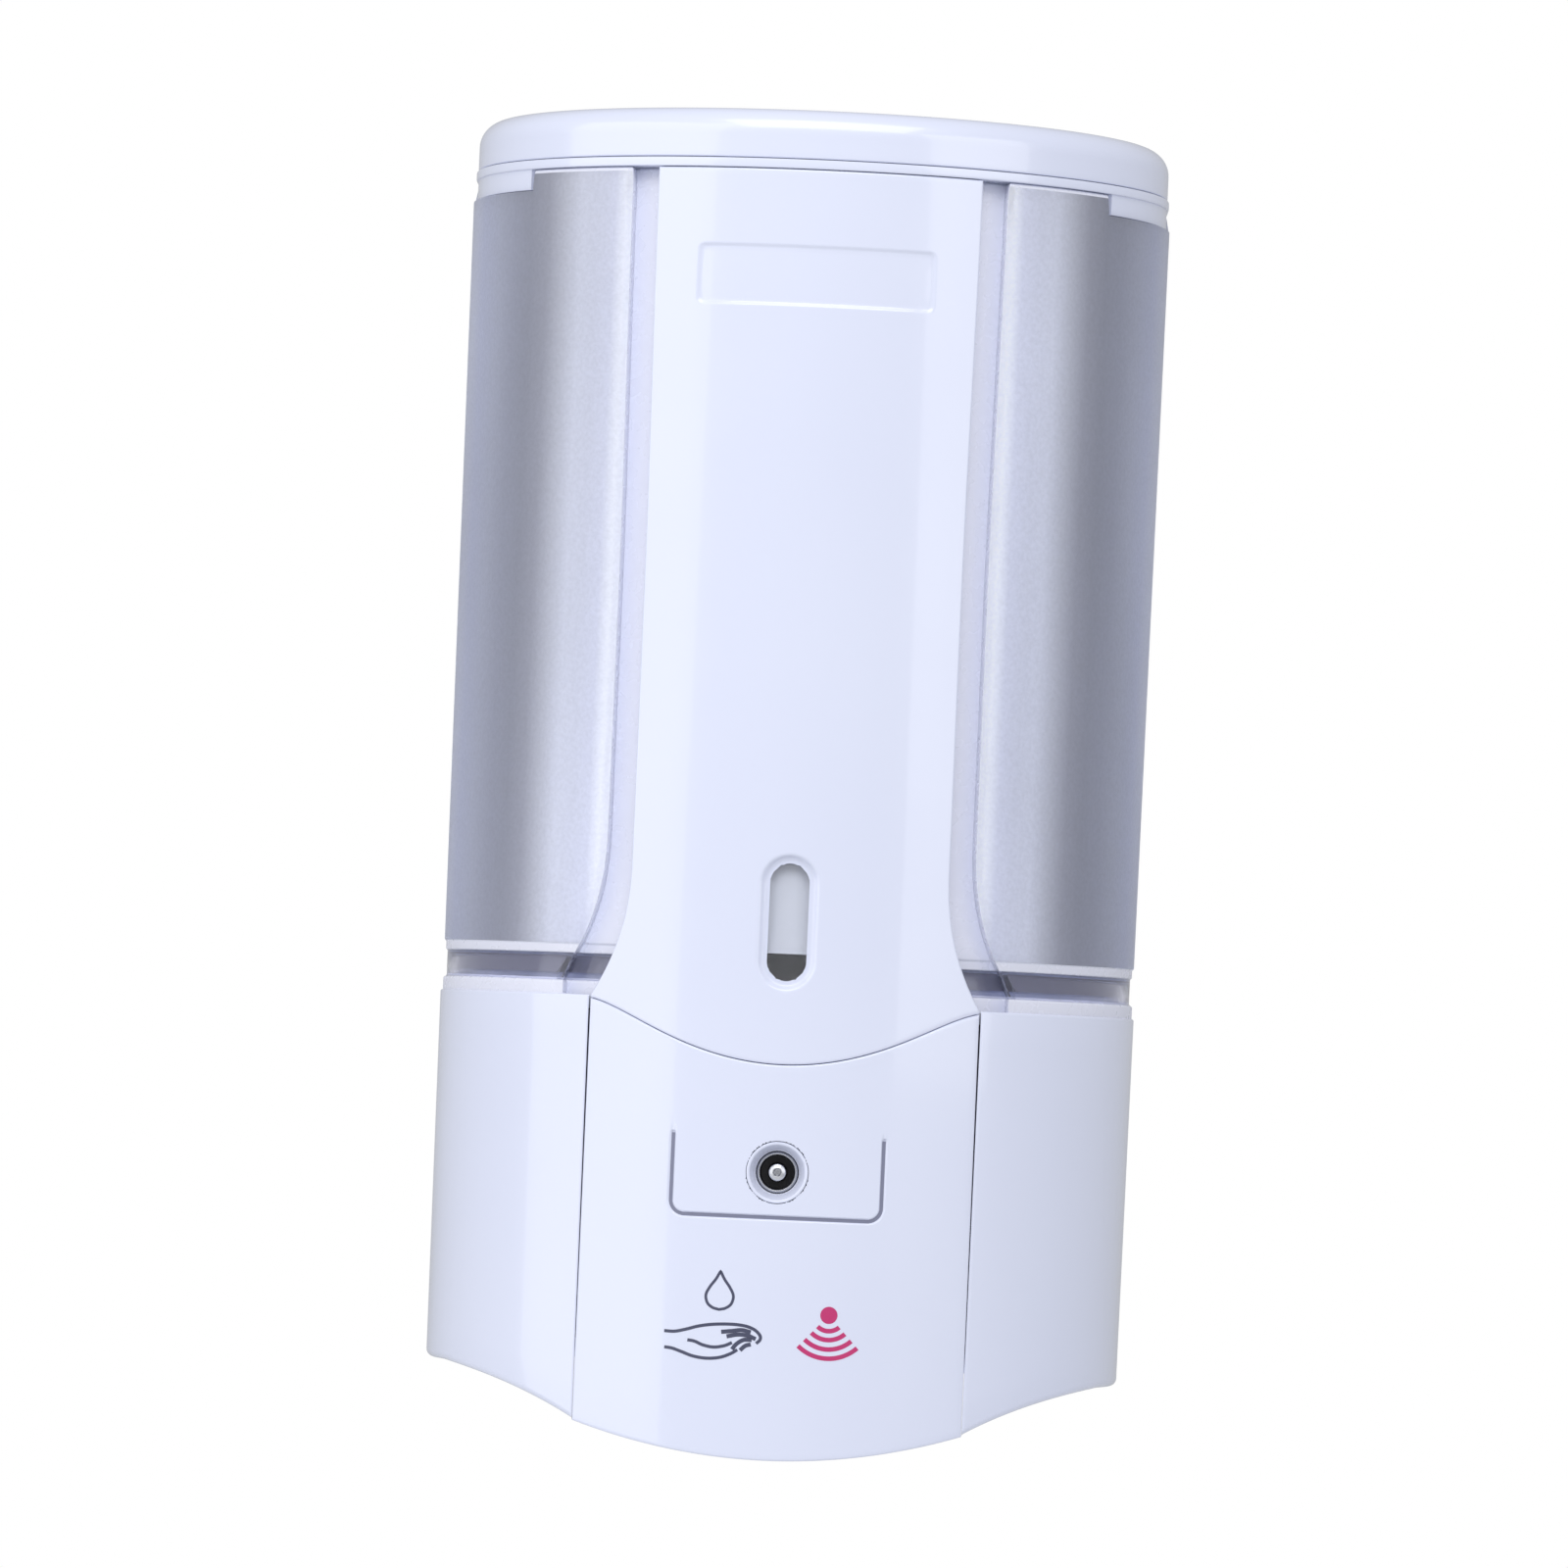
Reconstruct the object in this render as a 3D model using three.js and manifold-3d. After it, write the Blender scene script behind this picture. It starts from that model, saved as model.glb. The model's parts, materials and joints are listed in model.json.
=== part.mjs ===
// Wall mounted touchless soap dispenser, built as the assembly that it is.
//
// Units are millimetres and Z is up. The wall is the plane y = 0 and the front faces -Y. The code
// speaks of depth, the distance from the wall towards the room, so that y = -depth. Heights are
// counted from the lowest point of the front door. The whole assembly is then lowered by
// WALL_FACE_HEIGHT, which puts the origin in the middle of the wall bracket's back face.

import * as THREE from "three";
import { mergeVertices } from "three/addons/utils/BufferGeometryUtils.js";
import Module from "manifold-3d";

const wasm = await Module();
wasm.setup();

// ---- driving dimensions -------------------------------------------------------------------------

const HEIGHT = 236.5;
const HALF_WIDTH = 62.5;
const SIDE_DEPTH = 50; // the sides run straight out of the wall this far
const BOW_DEPTH = 58; // then the front bows out as half an ellipse
const DEPTH = SIDE_DEPTH + BOW_DEPTH;
const WALL_FACE_HEIGHT = 130;

const GAP = 0.3; // between pieces that touch
const RUN = 0.2; // radial play of a turning piece
const WALL = 2.4; // moulded walls
const BOW_STEPS = 28;
const ROUND = 16; // sides of a small cylinder

// half widths of the tapered shells, at the heights where they are stated
const LID_HALF = 62.25;
const RIM_HALF = 62.55;
const TANK_TOP_HALF = 62.85;
const TANK_FOOT_HALF = 62.1;
const PANEL_HALF = 62.35;
const BASE_TOP_HALF = 62.5;
const BASE_FOOT_HALF = 62.05;

// levels
const LID_BOTTOM = 227.6;
const LID_ROUND = 4.5;
const RIM_TOP = 227.3;
const RIM_BOTTOM = 226;
const TAB_FOOT = 222.2;
const TANK_TOP = 225.7;
const TANK_SHOULDER = 222.6;
const TANK_FLOOR = 88.2;
const TANK_FLOOR_UNDER = 86;
const TANK_FOOT = 80.3;
const BASE_TOP = 80;
const DECK_TOP = 79.7;
const DECK_BOTTOM = 77.6;
const FLOOR_TOP = 19.4;
const FLOOR_BOTTOM = 17;
const SIDE_FOOT = 14; // lower edge at the sides and the back

// rear housing and wall bracket
const REAR_FRONT = 16;
const REAR_BACK = 0.6;
const POCKET_DEPTH = 8;
const BRACKET = { half: 32, low: 75, high: 185, thick: 3 };
const HOOK = { x: 18, half: 5, low: 150, stem: 3, lip: 12, back: 10.9, front: 13.4 };
const LIFT = 12;

// tank and front panel
const TANK_WALL = 2.2;
const TAB_THICK = 1;
const PANEL_THICK = 2.2;
const RECESS = 3.2;
const PANEL_EDGE = 28;
const RECESS_EDGE = 31.7;
const OPENING_EDGE = 34.7; // half width of the gap between the base's cheeks
const DOOR_EDGE = 34.3;
const SEAM_LOW = 69.1;
const SEAM_RISE = 10.4;
const LABEL = { half: 21, low: 201.6, high: 212.6, deep: 0.5 };
const PANEL_FEET = [-11, 11]; // two feet screwed to the deck
const WINDOW = { half: 3.5, low: 83.7, high: 104.3, frame: 1.5, deep: 0.8 };

// hinges
const LID_AXIS = { depth: 20.4, z: 232.5, barrel: 4, pin: 1.25 };
const LID_LUG = { inner: 44, outer: 50 };
const DOOR_AXIS = { depth: 92, z: 14, pin: 1.2 };

// lock, and the U-shaped groove round it
const LOCK_Z = 50.3;
const GROOVE = { half: 18.1, low: 42, top: 56.5, corner: 2, width: 0.8, deep: 0.4 };

// pump line: one plane holds the tank outlet, the pump's track and the nozzle
const LINE_X = -9;
const LINE_DEPTH = 53.5;
const PUMP = { depth: 47, z: 48, track: 14.5, bend: 6.5 };
const TUBE = { outer: 2.5, bore: 1.5 };
const ROLLER = { orbit: 8.2, radius: 3.3, bore: 1.4 };

// batteries
const CELL = { radius: 7.1, length: 50.5, pitch: 15.4, depth: 79.2 };
const TRAY = { half: 32.5, low: 19.7, high: 77.3, back: 70, front: 86, wall: 1.5 };

// ---- materials ----------------------------------------------------------------------------------

function finish(color, roughness, metalness = 0, opacity = 1) {
  return new THREE.MeshStandardMaterial({
    color,
    roughness,
    metalness,
    opacity,
    transparent: opacity < 1,
    flatShading: true,
  });
}
const SHELL_WHITE = [0xe7ebfb, 0.22];
const INNER_WHITE = [0xd8dbe2, 0.45];
const FROSTED = [0xc9cedb, 0.5, 0, 0.55];
const CLEAR = [0xdfe4ee, 0.08, 0, 0.35];
const STEEL = [0xb8bcc4, 0.3, 1];
const RUBBER = [0x3a3c42, 0.8];
const DARK_PLASTIC = [0x25262c, 0.4];

// ---- helpers ------------------------------------------------------------------------------------

// A closed three.js geometry as a manifold solid, whichever way round its profile ran.
function solid(geometry) {
  const bare = geometry.clone();
  bare.deleteAttribute("normal");
  bare.deleteAttribute("uv");
  const merged = mergeVertices(bare, 1e-4);
  const vertProperties = merged.attributes.position.array;
  const triVerts = new Uint32Array(merged.index.array);
  const made = new wasm.Manifold(new wasm.Mesh({ numProp: 3, vertProperties, triVerts }));
  if (made.volume() >= 0) return made;
  return new wasm.Manifold(new wasm.Mesh({ numProp: 3, vertProperties, triVerts: triVerts.reverse() }));
}

function geometryOf(body) {
  const mesh = body.getMesh();
  const geometry = new THREE.BufferGeometry();
  geometry.setAttribute("position", new THREE.BufferAttribute(mesh.vertProperties, 3));
  geometry.setIndex(new THREE.BufferAttribute(mesh.triVerts, 1));
  geometry.computeVertexNormals();
  return geometry;
}

function piece(parent, name, body, look) {
  const mesh = new THREE.Mesh(geometryOf(body), finish(...look));
  mesh.name = name;
  parent.add(mesh);
  return mesh;
}

function join(...bodies) {
  return bodies.reduce((all, body) => all.add(body));
}

function cut(body, ...cutters) {
  return cutters.reduce((left, cutter) => left.subtract(cutter), body);
}

// A box between two limits on each axis; the second pair is depth from the wall.
function box([x0, x1], [near, far], [z0, z1]) {
  const geometry = new THREE.BoxGeometry(x1 - x0, far - near, z1 - z0);
  return solid(geometry.translate((x0 + x1) / 2, -(near + far) / 2, (z0 + z1) / 2));
}

// A cylinder along one axis; the other two coordinates are its centre line.
function rod(axis, radius, [from, to], centre, sides = ROUND) {
  const geometry = new THREE.CylinderGeometry(radius, radius, to - from, sides);
  const middle = (from + to) / 2;
  if (axis === "x") geometry.rotateZ(Math.PI / 2).translate(middle, -centre[0], centre[1]);
  if (axis === "depth") geometry.translate(centre[0], -middle, centre[1]);
  if (axis === "z") geometry.rotateX(Math.PI / 2).translate(centre[0], -centre[1], middle);
  return solid(geometry);
}

// A profile of [radius, height] points turned about Z.
function turned(profile, sides = ROUND) {
  const points = profile.map(([r, z]) => new THREE.Vector2(r, z));
  return solid(new THREE.LatheGeometry(points, sides).rotateX(Math.PI / 2));
}

// A ring is a closed rectangular profile turned about Z.
function ring(inner, outer, [z0, z1], [x, depth], sides = ROUND) {
  const profile = [[inner, z0], [outer, z0], [outer, z1], [inner, z1], [inner, z0]];
  return turned(profile, sides).translate([x, -depth, 0]);
}

// The plan of the body: straight sides and an elliptical bow, pulled in by inset.
function planShape(inset, back) {
  const a = HALF_WIDTH - inset;
  const b = BOW_DEPTH - inset;
  const points = [new THREE.Vector2(a, -back), new THREE.Vector2(-a, -back)];
  for (let i = 0; i <= BOW_STEPS; i++) {
    const angle = Math.PI * (1 + i / BOW_STEPS);
    points.push(new THREE.Vector2(a * Math.cos(angle), b * Math.sin(angle) - SIDE_DEPTH));
  }
  return new THREE.Shape(points);
}

// Widens or narrows a geometry linearly with height, to a stated half width at two levels.
function tapered(geometry, [z0, half0], [z1, half1]) {
  const at = geometry.attributes.position;
  for (let i = 0; i < at.count; i++) {
    const half = half0 + ((half1 - half0) * (at.getZ(i) - z0)) / (z1 - z0);
    const scale = half / HALF_WIDTH;
    at.setX(i, at.getX(i) * scale);
    if (at.getY(i) < -SIDE_DEPTH) at.setY(i, -SIDE_DEPTH + (at.getY(i) + SIDE_DEPTH) * scale);
  }
  return geometry;
}

// The body's plan as a solid between two levels.
function bodyPrism(inset, back, [z0, z1], lowSize, highSize = lowSize) {
  const geometry = new THREE.ExtrudeGeometry(planShape(inset, back), { depth: z1 - z0, bevelEnabled: false });
  geometry.translate(0, 0, z0);
  return solid(tapered(geometry, lowSize, highSize === lowSize ? [lowSize[0] + 1, lowSize[1]] : highSize));
}

// A front-view outline of x and z, pushed from one depth to another.
function frontSlab(points, [near, far]) {
  const shape = new THREE.Shape(points.map(([x, z]) => new THREE.Vector2(x, z)));
  const geometry = new THREE.ExtrudeGeometry(shape, { depth: far - near, bevelEnabled: false });
  return solid(geometry.rotateX(Math.PI / 2).translate(0, -near, 0));
}

// Points on a quadratic curve from a to c, pulled towards b; the first point is left out.
function bend(a, b, c, steps) {
  const curve = new THREE.QuadraticBezierCurve(...[a, b, c].map(([x, z]) => new THREE.Vector2(x, z)));
  return curve.getPoints(steps).slice(1).map((p) => [p.x, p.y]);
}

function mirrored(half) {
  return [...half, ...half.map(([x, z]) => [-x, z]).reverse()];
}

// A slot with round ends, tall in z, between two depths.
function stadium(half, [low, high], depths, steps = 10) {
  const points = [];
  for (let end = 0; end < 2; end++) {
    const centre = end ? low + half : high - half;
    for (let i = 0; i <= steps; i++) {
      const angle = Math.PI * (end + i / steps);
      points.push([half * Math.cos(angle), centre + half * Math.sin(angle)]);
    }
  }
  return frontSlab(points, depths);
}

// A round tube swept along a route of [x, depth, z] points; bore 0 makes it solid.
function tube(route, outer, bore, steps, sides = 8) {
  const circle = (radius) =>
    Array.from({ length: sides }, (_, i) => {
      const angle = (2 * Math.PI * i) / sides;
      return new THREE.Vector2(radius * Math.cos(angle), radius * Math.sin(angle));
    });
  const shape = new THREE.Shape(circle(outer));
  if (bore > 0) shape.holes.push(new THREE.Path(circle(bore)));
  const path = new THREE.CatmullRomCurve3(route.map(([x, depth, z]) => new THREE.Vector3(x, -depth, z)));
  return solid(new THREE.ExtrudeGeometry(shape, { steps, extrudePath: path, bevelEnabled: false }));
}

// A pan-head screw along Z: its head is from z = 0 up and its shank points down.
function screw(length, head = 3, shank = 1.4) {
  const dome = [[head, 0], [head, 1.3], [head - 1, 2.1], [0, 2.1]];
  return turned([[0, -length], [shank, -length], [shank, 0], ...dome], 8);
}

const assembly = new THREE.Group();
assembly.position.z = -WALL_FACE_HEIGHT;

// ---- wall bracket -------------------------------------------------------------------------------

// A flat plate screwed to the wall through two upright slots, with two hooks that carry the body.
function wallBracket() {
  const { half, low, high, thick } = BRACKET;
  const plate = box([-half, half], [0, thick], [low, high]);
  const hooks = [-HOOK.x, HOOK.x].map((x) =>
    join(
      box([x - HOOK.half, x + HOOK.half], [thick - 1, HOOK.front], [HOOK.low, HOOK.low + HOOK.stem]),
      box([x - HOOK.half, x + HOOK.half], [HOOK.back, HOOK.front], [HOOK.low, HOOK.low + HOOK.lip]),
    ),
  );
  const slots = [low + 10, high - 22].map((z) => stadium(2.8, [z, z + 12], [-1, thick + 1], 6));
  const ribs = [-half + 3, half - 3].map((x) => box([x - 1, x + 1], [thick - 1, 5.5], [low + 6, high - 6]));
  return cut(join(plate, ...hooks, ...ribs), ...slots);
}
piece(assembly, "wall_bracket", wallBracket(), INNER_WHITE);

const dispenser = new THREE.Group();
assembly.add(dispenser);

// ---- rear housing -------------------------------------------------------------------------------

const HOUSING_SCREWS = [-48, 48].map((x) => [x, 48]);

// An outline of x and z with its lower corners rounded by 3 and its upper corners like the lid's.
function housingOutline(inset) {
  const x = LID_HALF - inset;
  const low = SIDE_FOOT + inset;
  const high = HEIGHT - inset;
  const r = Math.max(LID_ROUND - inset, 1);
  return mirrored([
    ...bend([x - 3, low], [x, low], [x, low + 3], 5),
    [x, high - r],
    ...bend([x, high - r], [x, high], [x - r, high], 6),
  ]);
}

function rearHousing() {
  const shell = cut(
    frontSlab(housingOutline(0), [REAR_BACK, REAR_FRONT]),
    frontSlab(housingOutline(WALL), [REAR_BACK + WALL, REAR_FRONT - WALL]),
    box([-LID_HALF + WALL, LID_HALF - WALL], [REAR_FRONT - WALL - 1, REAR_FRONT + 1], [17, TANK_TOP]),
  );
  const pocketLow = BRACKET.low - LIFT - 1;
  const pocketHigh = BRACKET.high + 1;
  const halfPocket = BRACKET.half + 4;
  const pocketBlock = box(
    [-halfPocket - WALL, halfPocket + WALL],
    [REAR_BACK, POCKET_DEPTH + WALL],
    [pocketLow - WALL, pocketHigh + WALL],
  );
  const pocket = box([-halfPocket, halfPocket], [-1, POCKET_DEPTH], [pocketLow, pocketHigh]);
  const hookSlots = [-HOOK.x, HOOK.x].map((x) =>
    box(
      [x - HOOK.half - 0.6, x + HOOK.half + 0.6],
      [POCKET_DEPTH - 1, REAR_FRONT],
      [HOOK.low - LIFT - 0.7, HOOK.low + HOOK.stem + GAP],
    ),
  );
  const bosses = HOUSING_SCREWS.map(([x, z]) => rod("depth", 4, [REAR_BACK + 1, REAR_FRONT - 0.1], [x, z]));
  const bores = HOUSING_SCREWS.map(([x, z]) => rod("depth", 1.8, [-1, REAR_FRONT + 1], [x, z], 16));
  const counterbores = HOUSING_SCREWS.map(([x, z]) => rod("depth", 3.5, [-1, 3.2], [x, z]));
  const lugs = [-1, 1].map((side) => {
    const span = side > 0 ? [LID_LUG.inner, LID_LUG.outer] : [-LID_LUG.outer, -LID_LUG.inner];
    const eye = rod("x", LID_AXIS.barrel - 0.4, span, [LID_AXIS.depth, LID_AXIS.z]);
    const web = box(span, [REAR_FRONT - 1, LID_AXIS.depth], [LID_AXIS.z - 3.6, LID_AXIS.z + 3.6]);
    return cut(join(eye, web), rod("x", LID_AXIS.pin + RUN, [-60, 60], [LID_AXIS.depth, LID_AXIS.z], 16));
  });
  return join(
    cut(join(shell, pocketBlock, ...bosses), pocket, ...hookSlots, ...bores, ...counterbores),
    ...lugs,
  );
}
piece(dispenser, "rear_housing", rearHousing(), SHELL_WHITE);

HOUSING_SCREWS.forEach(([x, z], i) => {
  const made = piece(dispenser, `housing_screw_${i + 1}`, screw(21.5), STEEL);
  made.rotation.x = -Math.PI / 2;
  made.position.set(x, -2.9, z);
});

// ---- tank and rim -------------------------------------------------------------------------------

const tankSizes = [[TANK_FOOT, TANK_FOOT_HALF], [TANK_SHOULDER, TANK_TOP_HALF]];
const TANK_BACK = REAR_FRONT + GAP;

// Right edge of the front panel from its foot to its top. It is straight but for a flare at the
// foot, and spread moves it outwards for the channel that the panel sits in.
function panelEdge(spread, foot, top) {
  const flareTop = 104 + spread;
  const flareFoot = [OPENING_EDGE - 0.4 + spread * 1.2, foot];
  const edge = PANEL_EDGE + spread;
  return [flareFoot, ...bend(flareFoot, [edge + 0.8, 88 + spread], [edge, flareTop], 10), [edge + 0.6, top]];
}

// Where the rim's four tabs hang beside the tank's neck; grow widens the places for the notches.
function tabPlaces(grow) {
  return [-1, 1].flatMap((side) =>
    [[26, 38], [46, 90]].map(([near, far]) => {
      const span = side > 0 ? [51 - grow, 70] : [-70, grow - 51];
      return box(span, [near - grow, far + grow], [TAB_FOOT - grow, RIM_TOP]);
    }),
  );
}

// The frosted tank: an open-topped shell with a channel down its front for the white panel, a
// floor with an outlet spigot, a foot rim under the floor, and notches for the rim's tabs.
function tank() {
  const outer = bodyPrism(0, TANK_BACK, [TANK_FOOT, TANK_SHOULDER], ...tankSizes);
  const neckSizes = [[TANK_SHOULDER, TANK_TOP_HALF], [TANK_TOP, LID_HALF]];
  const neck = bodyPrism(0, TANK_BACK, [TANK_SHOULDER, TANK_TOP], ...neckSizes);
  const inside = bodyPrism(TANK_WALL, TANK_BACK + TANK_WALL, [TANK_FLOOR, HEIGHT], ...tankSizes);
  const foot = bodyPrism(TANK_WALL, TANK_BACK + TANK_WALL, [TANK_FOOT - 1, TANK_FLOOR_UNDER], ...tankSizes);
  // the wall behind the channel stands further in, down to the foot
  const backing = cut(
    bodyPrism(TANK_WALL - 0.4, TANK_BACK, [TANK_FOOT, TANK_TOP], ...tankSizes),
    bodyPrism(RECESS + TANK_WALL, TANK_BACK, [0, HEIGHT], ...tankSizes),
  ).intersect(box([-RECESS_EDGE - 8, RECESS_EDGE + 8], [80, DEPTH + 2], [0, HEIGHT]));
  const channel = cut(
    frontSlab(mirrored(panelEdge(RECESS_EDGE - PANEL_EDGE, 82, HEIGHT)), [80, DEPTH + 2]),
    bodyPrism(RECESS, TANK_BACK, [0, HEIGHT + 1], ...tankSizes),
  );
  const footGap = box([-OPENING_EDGE - 4, OPENING_EDGE + 4], [80, DEPTH + 2], [0, TANK_FLOOR_UNDER - 2]);
  const footChannel = cut(footGap, bodyPrism(RECESS, TANK_BACK, [-1, HEIGHT], ...tankSizes));
  const bore = rod("z", 2, [70, TANK_FLOOR + 1], [LINE_X, LINE_DEPTH], 16);
  const spigot = rod("z", 4, [78.6, TANK_FLOOR_UNDER + 1], [LINE_X, LINE_DEPTH]);
  const shell = cut(join(outer, neck), inside, foot);
  const notches = cut(
    join(...tabPlaces(GAP)),
    bodyPrism(TAB_THICK + GAP, TANK_BACK, [200, HEIGHT], [0, RIM_HALF]),
  );
  return cut(join(shell, backing, spigot), channel, footChannel, bore, notches);
}
piece(dispenser, "tank", tank(), FROSTED);

// A flat ring on the tank's rim, with four tabs that clip into notches in the tank's neck.
function rimCollar() {
  const size = [0, RIM_HALF];
  const plate = cut(
    bodyPrism(0, TANK_BACK, [RIM_BOTTOM, RIM_TOP], size),
    bodyPrism(9, TANK_BACK + 10, [RIM_BOTTOM - 1, RIM_TOP + 1], size),
  );
  const skirt = cut(
    bodyPrism(0, TANK_BACK, [TAB_FOOT, RIM_BOTTOM + 0.5], size),
    bodyPrism(TAB_THICK, TANK_BACK, [200, RIM_BOTTOM + 1], size),
  );
  const tabs = tabPlaces(0).map((place) => skirt.intersect(place));
  return join(plate, ...tabs);
}
piece(dispenser, "rim_collar", rimCollar(), SHELL_WHITE);

const spigotSeal = ring(4.3, 6.8, [80, 85.7], [LINE_X, LINE_DEPTH]);
piece(dispenser, "outlet_seal", spigotSeal, RUBBER);

// A domed strainer cup standing over the outlet inside the tank.
function strainer() {
  const outside = [[2.6, 88.5], [6, 88.5], [6, 91], [4.6, 94], [0, 95.4]];
  const inside = [[0, 94.2], [3.8, 93], [4.8, 90.6], [2.6, 90.2]];
  const cup = turned([...outside, ...inside, outside[0]], 16);
  const windows = [0, 60, 120].map((degrees) => {
    const slot = box([-8, 8], [-0.6, 0.6], [91, 92.6]);
    return slot.rotate([0, 0, degrees]);
  });
  return cut(cup, ...windows).translate([LINE_X, -LINE_DEPTH, 0]);
}
piece(dispenser, "outlet_strainer", strainer(), INNER_WHITE);

// ---- front panel and level window ---------------------------------------------------------------

// Height of the curved seam between the panel and the door: a parabola, eased at its two ends.
function seamHeight(x) {
  const u = x / OPENING_EDGE;
  return SEAM_LOW + SEAM_RISE * (1.25 * u ** 2 - 0.25 * u ** 8);
}

function seamPoints(half, lift, steps = 18) {
  return Array.from({ length: steps + 1 }, (_, i) => {
    const x = half * (1 - (2 * i) / steps);
    return [x, seamHeight(x) + lift];
  });
}

// The white panel down the front, flared at its foot and cut to the curved seam.
function frontPanel() {
  const size = [0, PANEL_HALF];
  const skin = cut(
    bodyPrism(0, TANK_BACK, [60, RIM_BOTTOM - GAP], size),
    bodyPrism(PANEL_THICK, TANK_BACK, [59, HEIGHT], size),
  );
  const side = panelEdge(0, seamHeight(DOOR_EDGE) + 0.6, HEIGHT);
  const seam = seamPoints(DOOR_EDGE, 0.2).slice(1, -1).reverse();
  const outline = [...side, ...side.map(([x, z]) => [-x, z]).reverse(), ...seam];
  const body = skin.intersect(frontSlab(outline, [60, DEPTH + 2]));
  const labelFloor = bodyPrism(LABEL.deep, TANK_BACK, [60, HEIGHT], size);
  const label = cut(box([-LABEL.half, LABEL.half], [90, DEPTH + 2], [LABEL.low, LABEL.high]), labelFloor);
  const { half, low, high, frame, deep } = WINDOW;
  const rebateFloor = bodyPrism(deep, TANK_BACK, [60, HEIGHT], size);
  const rebate = cut(stadium(half + frame, [low - frame, high + frame], [90, DEPTH + 2]), rebateFloor);
  const feet = PANEL_FEET.map((x) => box([x - 3, x + 3], [96, DEPTH - 3], [73.4, 76.4]));
  const footBores = PANEL_FEET.map((x) => rod("z", 1.5, [70, 78], [x, 99], 10));
  return cut(join(body, ...feet), label, rebate, stadium(half, [low, high], [90, DEPTH + 2]), ...footBores);
}
piece(dispenser, "front_panel", frontPanel(), SHELL_WHITE);

PANEL_FEET.forEach((x, i) => {
  const made = piece(dispenser, `panel_screw_${i + 1}`, screw(5.5, 2.6, 1.2), STEEL);
  made.rotation.x = Math.PI;
  made.position.set(x, -99, 73.1);
});

const lensDepth = [DEPTH - 3, DEPTH - 1.1];
const lens = stadium(WINDOW.half - GAP, [WINDOW.low + GAP, WINDOW.high - GAP], lensDepth);
piece(dispenser, "level_window", lens, CLEAR);

// ---- base shell ---------------------------------------------------------------------------------

const baseSizes = [[0, BASE_FOOT_HALF], [BASE_TOP, BASE_TOP_HALF]];
const POSTS = [[-48, 62], [48, 62]];
const EMITTERS = [[8, 60], [16, 60]];
const LED = [22, 60];
const SWITCH = { x: -30, depth: 50 };

// Everything below the wavy lower edge: a parabola under the door, then an S up to the sides.
function footCutter() {
  const parabola = Array.from({ length: 9 }, (_, i) => {
    const x = (OPENING_EDGE * i) / 8;
    return [x, 0.0045 * x * x];
  });
  const from = parabola[parabola.length - 1];
  const swell = new THREE.CubicBezierCurve(
    new THREE.Vector2(...from),
    new THREE.Vector2(41.6, 9.3),
    new THREE.Vector2(50, 12.4),
    new THREE.Vector2(59.5, SIDE_FOOT),
  );
  const wave = swell.getPoints(10).slice(1).map((p) => [p.x, p.y]);
  const corner = bend([59.5, SIDE_FOOT], [62.6, SIDE_FOOT], [62.8, 17.5], 5);
  const right = [...parabola, ...wave, ...corner, [70, 17.5], [70, -5]];
  const left = right.slice(1).map(([x, z]) => [-x, z]).reverse();
  return frontSlab([...left, ...right], [0, DEPTH + 5]);
}

function baseShell() {
  const back = TANK_BACK;
  const outer = bodyPrism(0, back, [-1, BASE_TOP], ...baseSizes);
  const above = bodyPrism(WALL, back + WALL, [FLOOR_TOP, BASE_TOP + 1], ...baseSizes);
  const below = bodyPrism(WALL, back - 1, [-2, FLOOR_BOTTOM], ...baseSizes);
  const doorway = box([-OPENING_EDGE, OPENING_EDGE], [84, DEPTH + 5], [-2, BASE_TOP + 1]);
  const underBack = box([-70, 70], [10, 48], [-2, SIDE_FOOT]);
  const posts = POSTS.map(([x, depth]) => rod("z", 3.2, [FLOOR_TOP - 1, DECK_BOTTOM - GAP], [x, depth], 16));
  const postBores = POSTS.map(([x, depth]) => rod("z", 1.7, [60, 80], [x, depth], 12));
  const bosses = HOUSING_SCREWS.map(([x, z]) => rod("depth", 3.4, [back + 1, 27], [x, z], 16));
  const bossBores = HOUSING_SCREWS.map(([x, z]) => rod("depth", 1.8, [back - 1, 26], [x, z], 16));
  const lugs = [-1, 1].map((side) => {
    const span = side > 0 ? [26.5, 29.2] : [-29.2, -26.5];
    const eye = rod("x", 3.6, span, [DOOR_AXIS.depth, DOOR_AXIS.z]);
    const arm = box(span, [83, DOOR_AXIS.depth], [DOOR_AXIS.z - 3.6, FLOOR_TOP]);
    const bore = rod("x", DOOR_AXIS.pin + RUN, [-40, 40], [DOOR_AXIS.depth, DOOR_AXIS.z], 16);
    return cut(join(eye, arm), bore);
  });
  const floorHoles = [
    rod("z", 4.3, [10, 22], [LINE_X, LINE_DEPTH]),
    ...EMITTERS.map((at) => rod("z", 2.9, [10, 22], at, 16)),
    rod("z", 1.9, [10, 22], LED, 12),
    box([SWITCH.x - 5, SWITCH.x + 5], [SWITCH.depth - 2, SWITCH.depth + 2], [10, 22]),
  ];
  const shell = join(cut(outer, above, below, doorway, underBack), ...posts, ...bosses, ...lugs);
  return cut(shell, footCutter(), ...postBores, ...bossBores, ...floorHoles);
}
piece(dispenser, "base_shell", baseShell(), SHELL_WHITE);

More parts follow.
